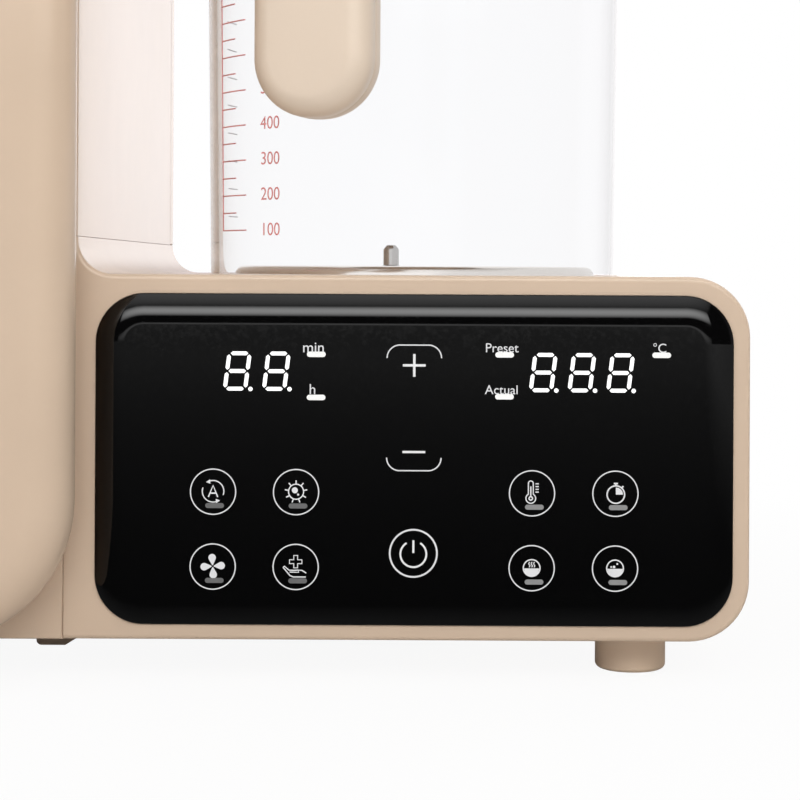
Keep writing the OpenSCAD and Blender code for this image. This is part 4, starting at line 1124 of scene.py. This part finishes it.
bpy.ops.mesh.normals_make_consistent(inside=False)
close_mesh()
key_shares = ((-0.3173, -0.0907), (-0.1859, -0.0931), (-0.3173, -0.3174), (-0.1859, -0.3199))
key_shares += ((0.1846, -0.098), (0.3173, -0.1017), (0.184, -0.326), (0.3173, -0.3284))
key_shares += ((0, 0.288), (0, 0.0319), (-0.0013, -0.2806))
coils = []
for share_x, share_z in key_shares:
    coil_x = (panel_x + share_x * panel_w) * 0.001
    coil_z = (panel_z + share_z * panel_h) * 0.001
    coils.append(laid(copied(coil, "coil_copy"), (coil_x, high.y, coil_z), (math.pi / 2, 0, 0)))
bpy.data.objects.remove(coil)
spring_coils = joined(coils, "spring_coils")
finished(spring_coils, 60, "housing", "screw_steel", wound_steel, "touch_springs")

# Cord gland and wire loom: a black grommet in the back cover, and a braided sleeve from board to board.
# The sleeve is woven in fine red threads.
grommet_black = plastic("grommet_paint", (0.025, 0.025, 0.026), 0.5, 0.65, 0.3)
moulded("cord_gland", "cord_grommet", "housing", "black_plastic", grommet_black, width=0.0006, segments=3)
sleeve, sleeve_tree, sleeve_shader, sleeve_spot = new_paint("wire_sleeve_paint")
weave = {"Vector": sleeve_spot, "Scale": 260, "Distortion": 2}
threads = add_node(sleeve_tree, "TexWave", weave, bands_direction="DIAGONAL").outputs["Fac"]
grained(sleeve_tree, sleeve_shader, threads, 0.8, (0.12, 0.015, 0.014), (0.32, 0.05, 0.045), 0.6, 0.0003)
moulded("wire_harness", "wire_loom", "housing", "wire_sleeve", sleeve, angle=40)

# Seals and door fittings: pale silicone lips at the door, jar, heating plate and lid, pressed into grooves.
# Strike plates, hinge pins and magnets are stamped or turned steel, and the door switch is a white moulding.
silicone = plastic("silicone_paint", (0.7, 0.69, 0.66), 0.5, 0.62, 0.2)
seals = (
    ("door_seal", "housing", 0.0006),
    ("glass_seal", "kettle", 0.0003),
    ("plate_seal", "kettle", 0.0003),
    ("lid_seal", "lid", 0.0004),
)
for node, body, soft_edge in seals:
    moulded(node, node + "_lip", body, "silicone", silicone, width=soft_edge, angle=40)
fitting_steel = brushed("fitting_steel_paint", (0.6, 0.6, 0.61), 0.28, (900, 900, 60))
for node, body in (("strike_plates", "housing"), ("hinge_pins", "housing"), ("door_magnets", "door")):
    moulded(node, node + "_set", body, "screw_steel", fitting_steel, width=0.0003)
moulded("door_sensor", "door_switch", "housing", "white_plastic", white, width=0.0008, segments=3)

# Kettle plug and socket: a round plug in the well that the kettle finds in any turn, and its socket.
# Both are black mouldings; the element is a cast aluminium ring under the plate.
low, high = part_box("base_connector")
plug_x = (low.x + high.x) * 500
plug_y = (low.y + high.y) * 500
plug_low = low.z * 1000
plug_top = high.z * 1000
plug_r = 10
flange_r = (high.x - low.x) * 500
flange_low = plug_low + 5
flange_top = plug_low + 8
groove = plug_top - 3
brow = plug_top - 0.4
plug_profile = [(0, groove), (2.2, groove), (2.4, brow), (2.8, plug_top), (4.4, plug_top), (4.8, brow)]
plug_profile += [(4.8, groove), (6.4, groove), (6.4, brow), (6.8, plug_top)]
plug_profile += arc(1, 90, 0, 4, plug_r - 1, plug_top - 1)
plug_profile += [(plug_r, flange_top), (flange_r - 0.4, flange_top), (flange_r, flange_top - 0.4)]
plug_profile += [(flange_r, flange_low), (plug_r, flange_low), (plug_r, plug_low), (0, plug_low)]
plug = turned("kettle_plug", plug_profile, plug_x, plug_y, 64)
finished(plug, 35, "housing", "black_plastic", part_black, "base_connector")
moulded("kettle_socket", "kettle_socket_cup", "kettle_socket", "black_plastic", part_black, width=0.0003)
moulded("heating_element", "element_ring", "kettle", "aluminium_fins", fin_metal, width=0.001, segments=3)


# Screws: zinc plated steel screws with flat round heads, each with a cross recess.
# One is turned and threaded, its recess is pressed in, and the others are copies of it.
def cross_screw(name, length):
    head_r = 3
    head_h = 2
    shank_r = 1.5
    root_r = 1.2
    pitch = 0.9
    tip = 1.5
    recess = (3.6, 0.75, 2.4)
    profile = [(0, 0.15), (1.8, 0.15)] + arc(0.7, -90, 0, 4, head_r - 0.7, 0.85) + [(head_r, head_h)]
    for ridge in range(int((length - head_h - tip) / pitch)):
        ridge_z = head_h + pitch * ridge
        profile += [(root_r, ridge_z), (shank_r, ridge_z + pitch / 2)]
    profile += [(root_r, length - tip), (0, length)]
    piece = turned(name, profile, 0, 0, 32)
    for turn in (0, math.pi / 2):
        unselect()
        bpy.ops.mesh.primitive_cube_add(size=0.001, location=(0, 0, 0), rotation=(0, 0, turn))
        punch = bpy.context.object
        open_mesh()
        bpy.ops.transform.resize(value=recess, orient_type="LOCAL")
        close_mesh()
        activate(piece)
        press = piece.modifiers.new("press", "BOOLEAN")
        press.operation = "DIFFERENCE"
        press.object = punch
        bpy.ops.object.modifier_apply(modifier=press.name)
        bpy.data.objects.remove(punch)
    return piece


def driven(length, places, aim):
    pattern = cross_screw("screw_pattern", length)
    turn = Vector(aim).to_track_quat("Z", "Y").to_euler()
    copies = [laid(copied(pattern, "screw_copy"), Vector(place) * 0.001, turn) for place in places]
    bpy.data.objects.remove(pattern)
    return copies


def on_handle(radius, z):
    return kettle_axis + kettle_front * radius + Vector((0, 0, z))


zinc = brushed("zinc_screw_paint", (0.58, 0.58, 0.57), 0.3, (500, 500, 500))
grip_r = 87
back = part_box("back_screws")[1].y * 1000
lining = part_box("door_screws")[1].y * 1000
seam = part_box("joining_screws")[1].x * 1000
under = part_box("base_screws")[0].z * 1000
lid_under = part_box("lid_screw")[0].z * 1000
back_places = [(-202.5, back, 55), (-202.5, back, 277), (35.7, back, 277), (32.5, back, 55)]
seam_places = [(seam, y, z) for y in (-59.5, 82.5) for z in (24, 82.5)]
door_places = [(x, lining, z) for x in (-175, 9.6) for z in (45.8, 289.2)]
base_places = [(46, -75.5, under), (46, 97.5, under), (126.6, -80.5, under), (126.6, 102.5, under)]
grip_places = [on_handle(grip_r, z) for z in (161.2, 223.2)]
lug_places = [on_handle(split_r, z) for z in (249.5, 258.5)]
lid_places = [(kettle_x, kettle_y, lid_under)]
screw_sets = (
    ("back_screws", "housing", [(18, back_places, (0, -1, 0))]),
    ("joining_screws", "housing", [(14, seam_places, (-1, 0, 0))]),
    ("door_screws", "door", [(15, door_places, (0, -1, 0))]),
    ("base_screws", "housing", [(8, base_places, (0, 0, 1))]),
    ("handle_screws", "kettle", [(14, grip_places, kettle_front), (16.5, lug_places, -kettle_front)]),
    ("lid_screw", "lid", [(14, lid_places, (0, 0, 1))]),
)
for node, body, kinds in screw_sets:
    screws = [screw for length, places, aim in kinds for screw in driven(length, places, aim)]
    screw_set = joined(screws, node + "_driven")
    finished(screw_set, 35, body, "screw_steel", zinc, node)
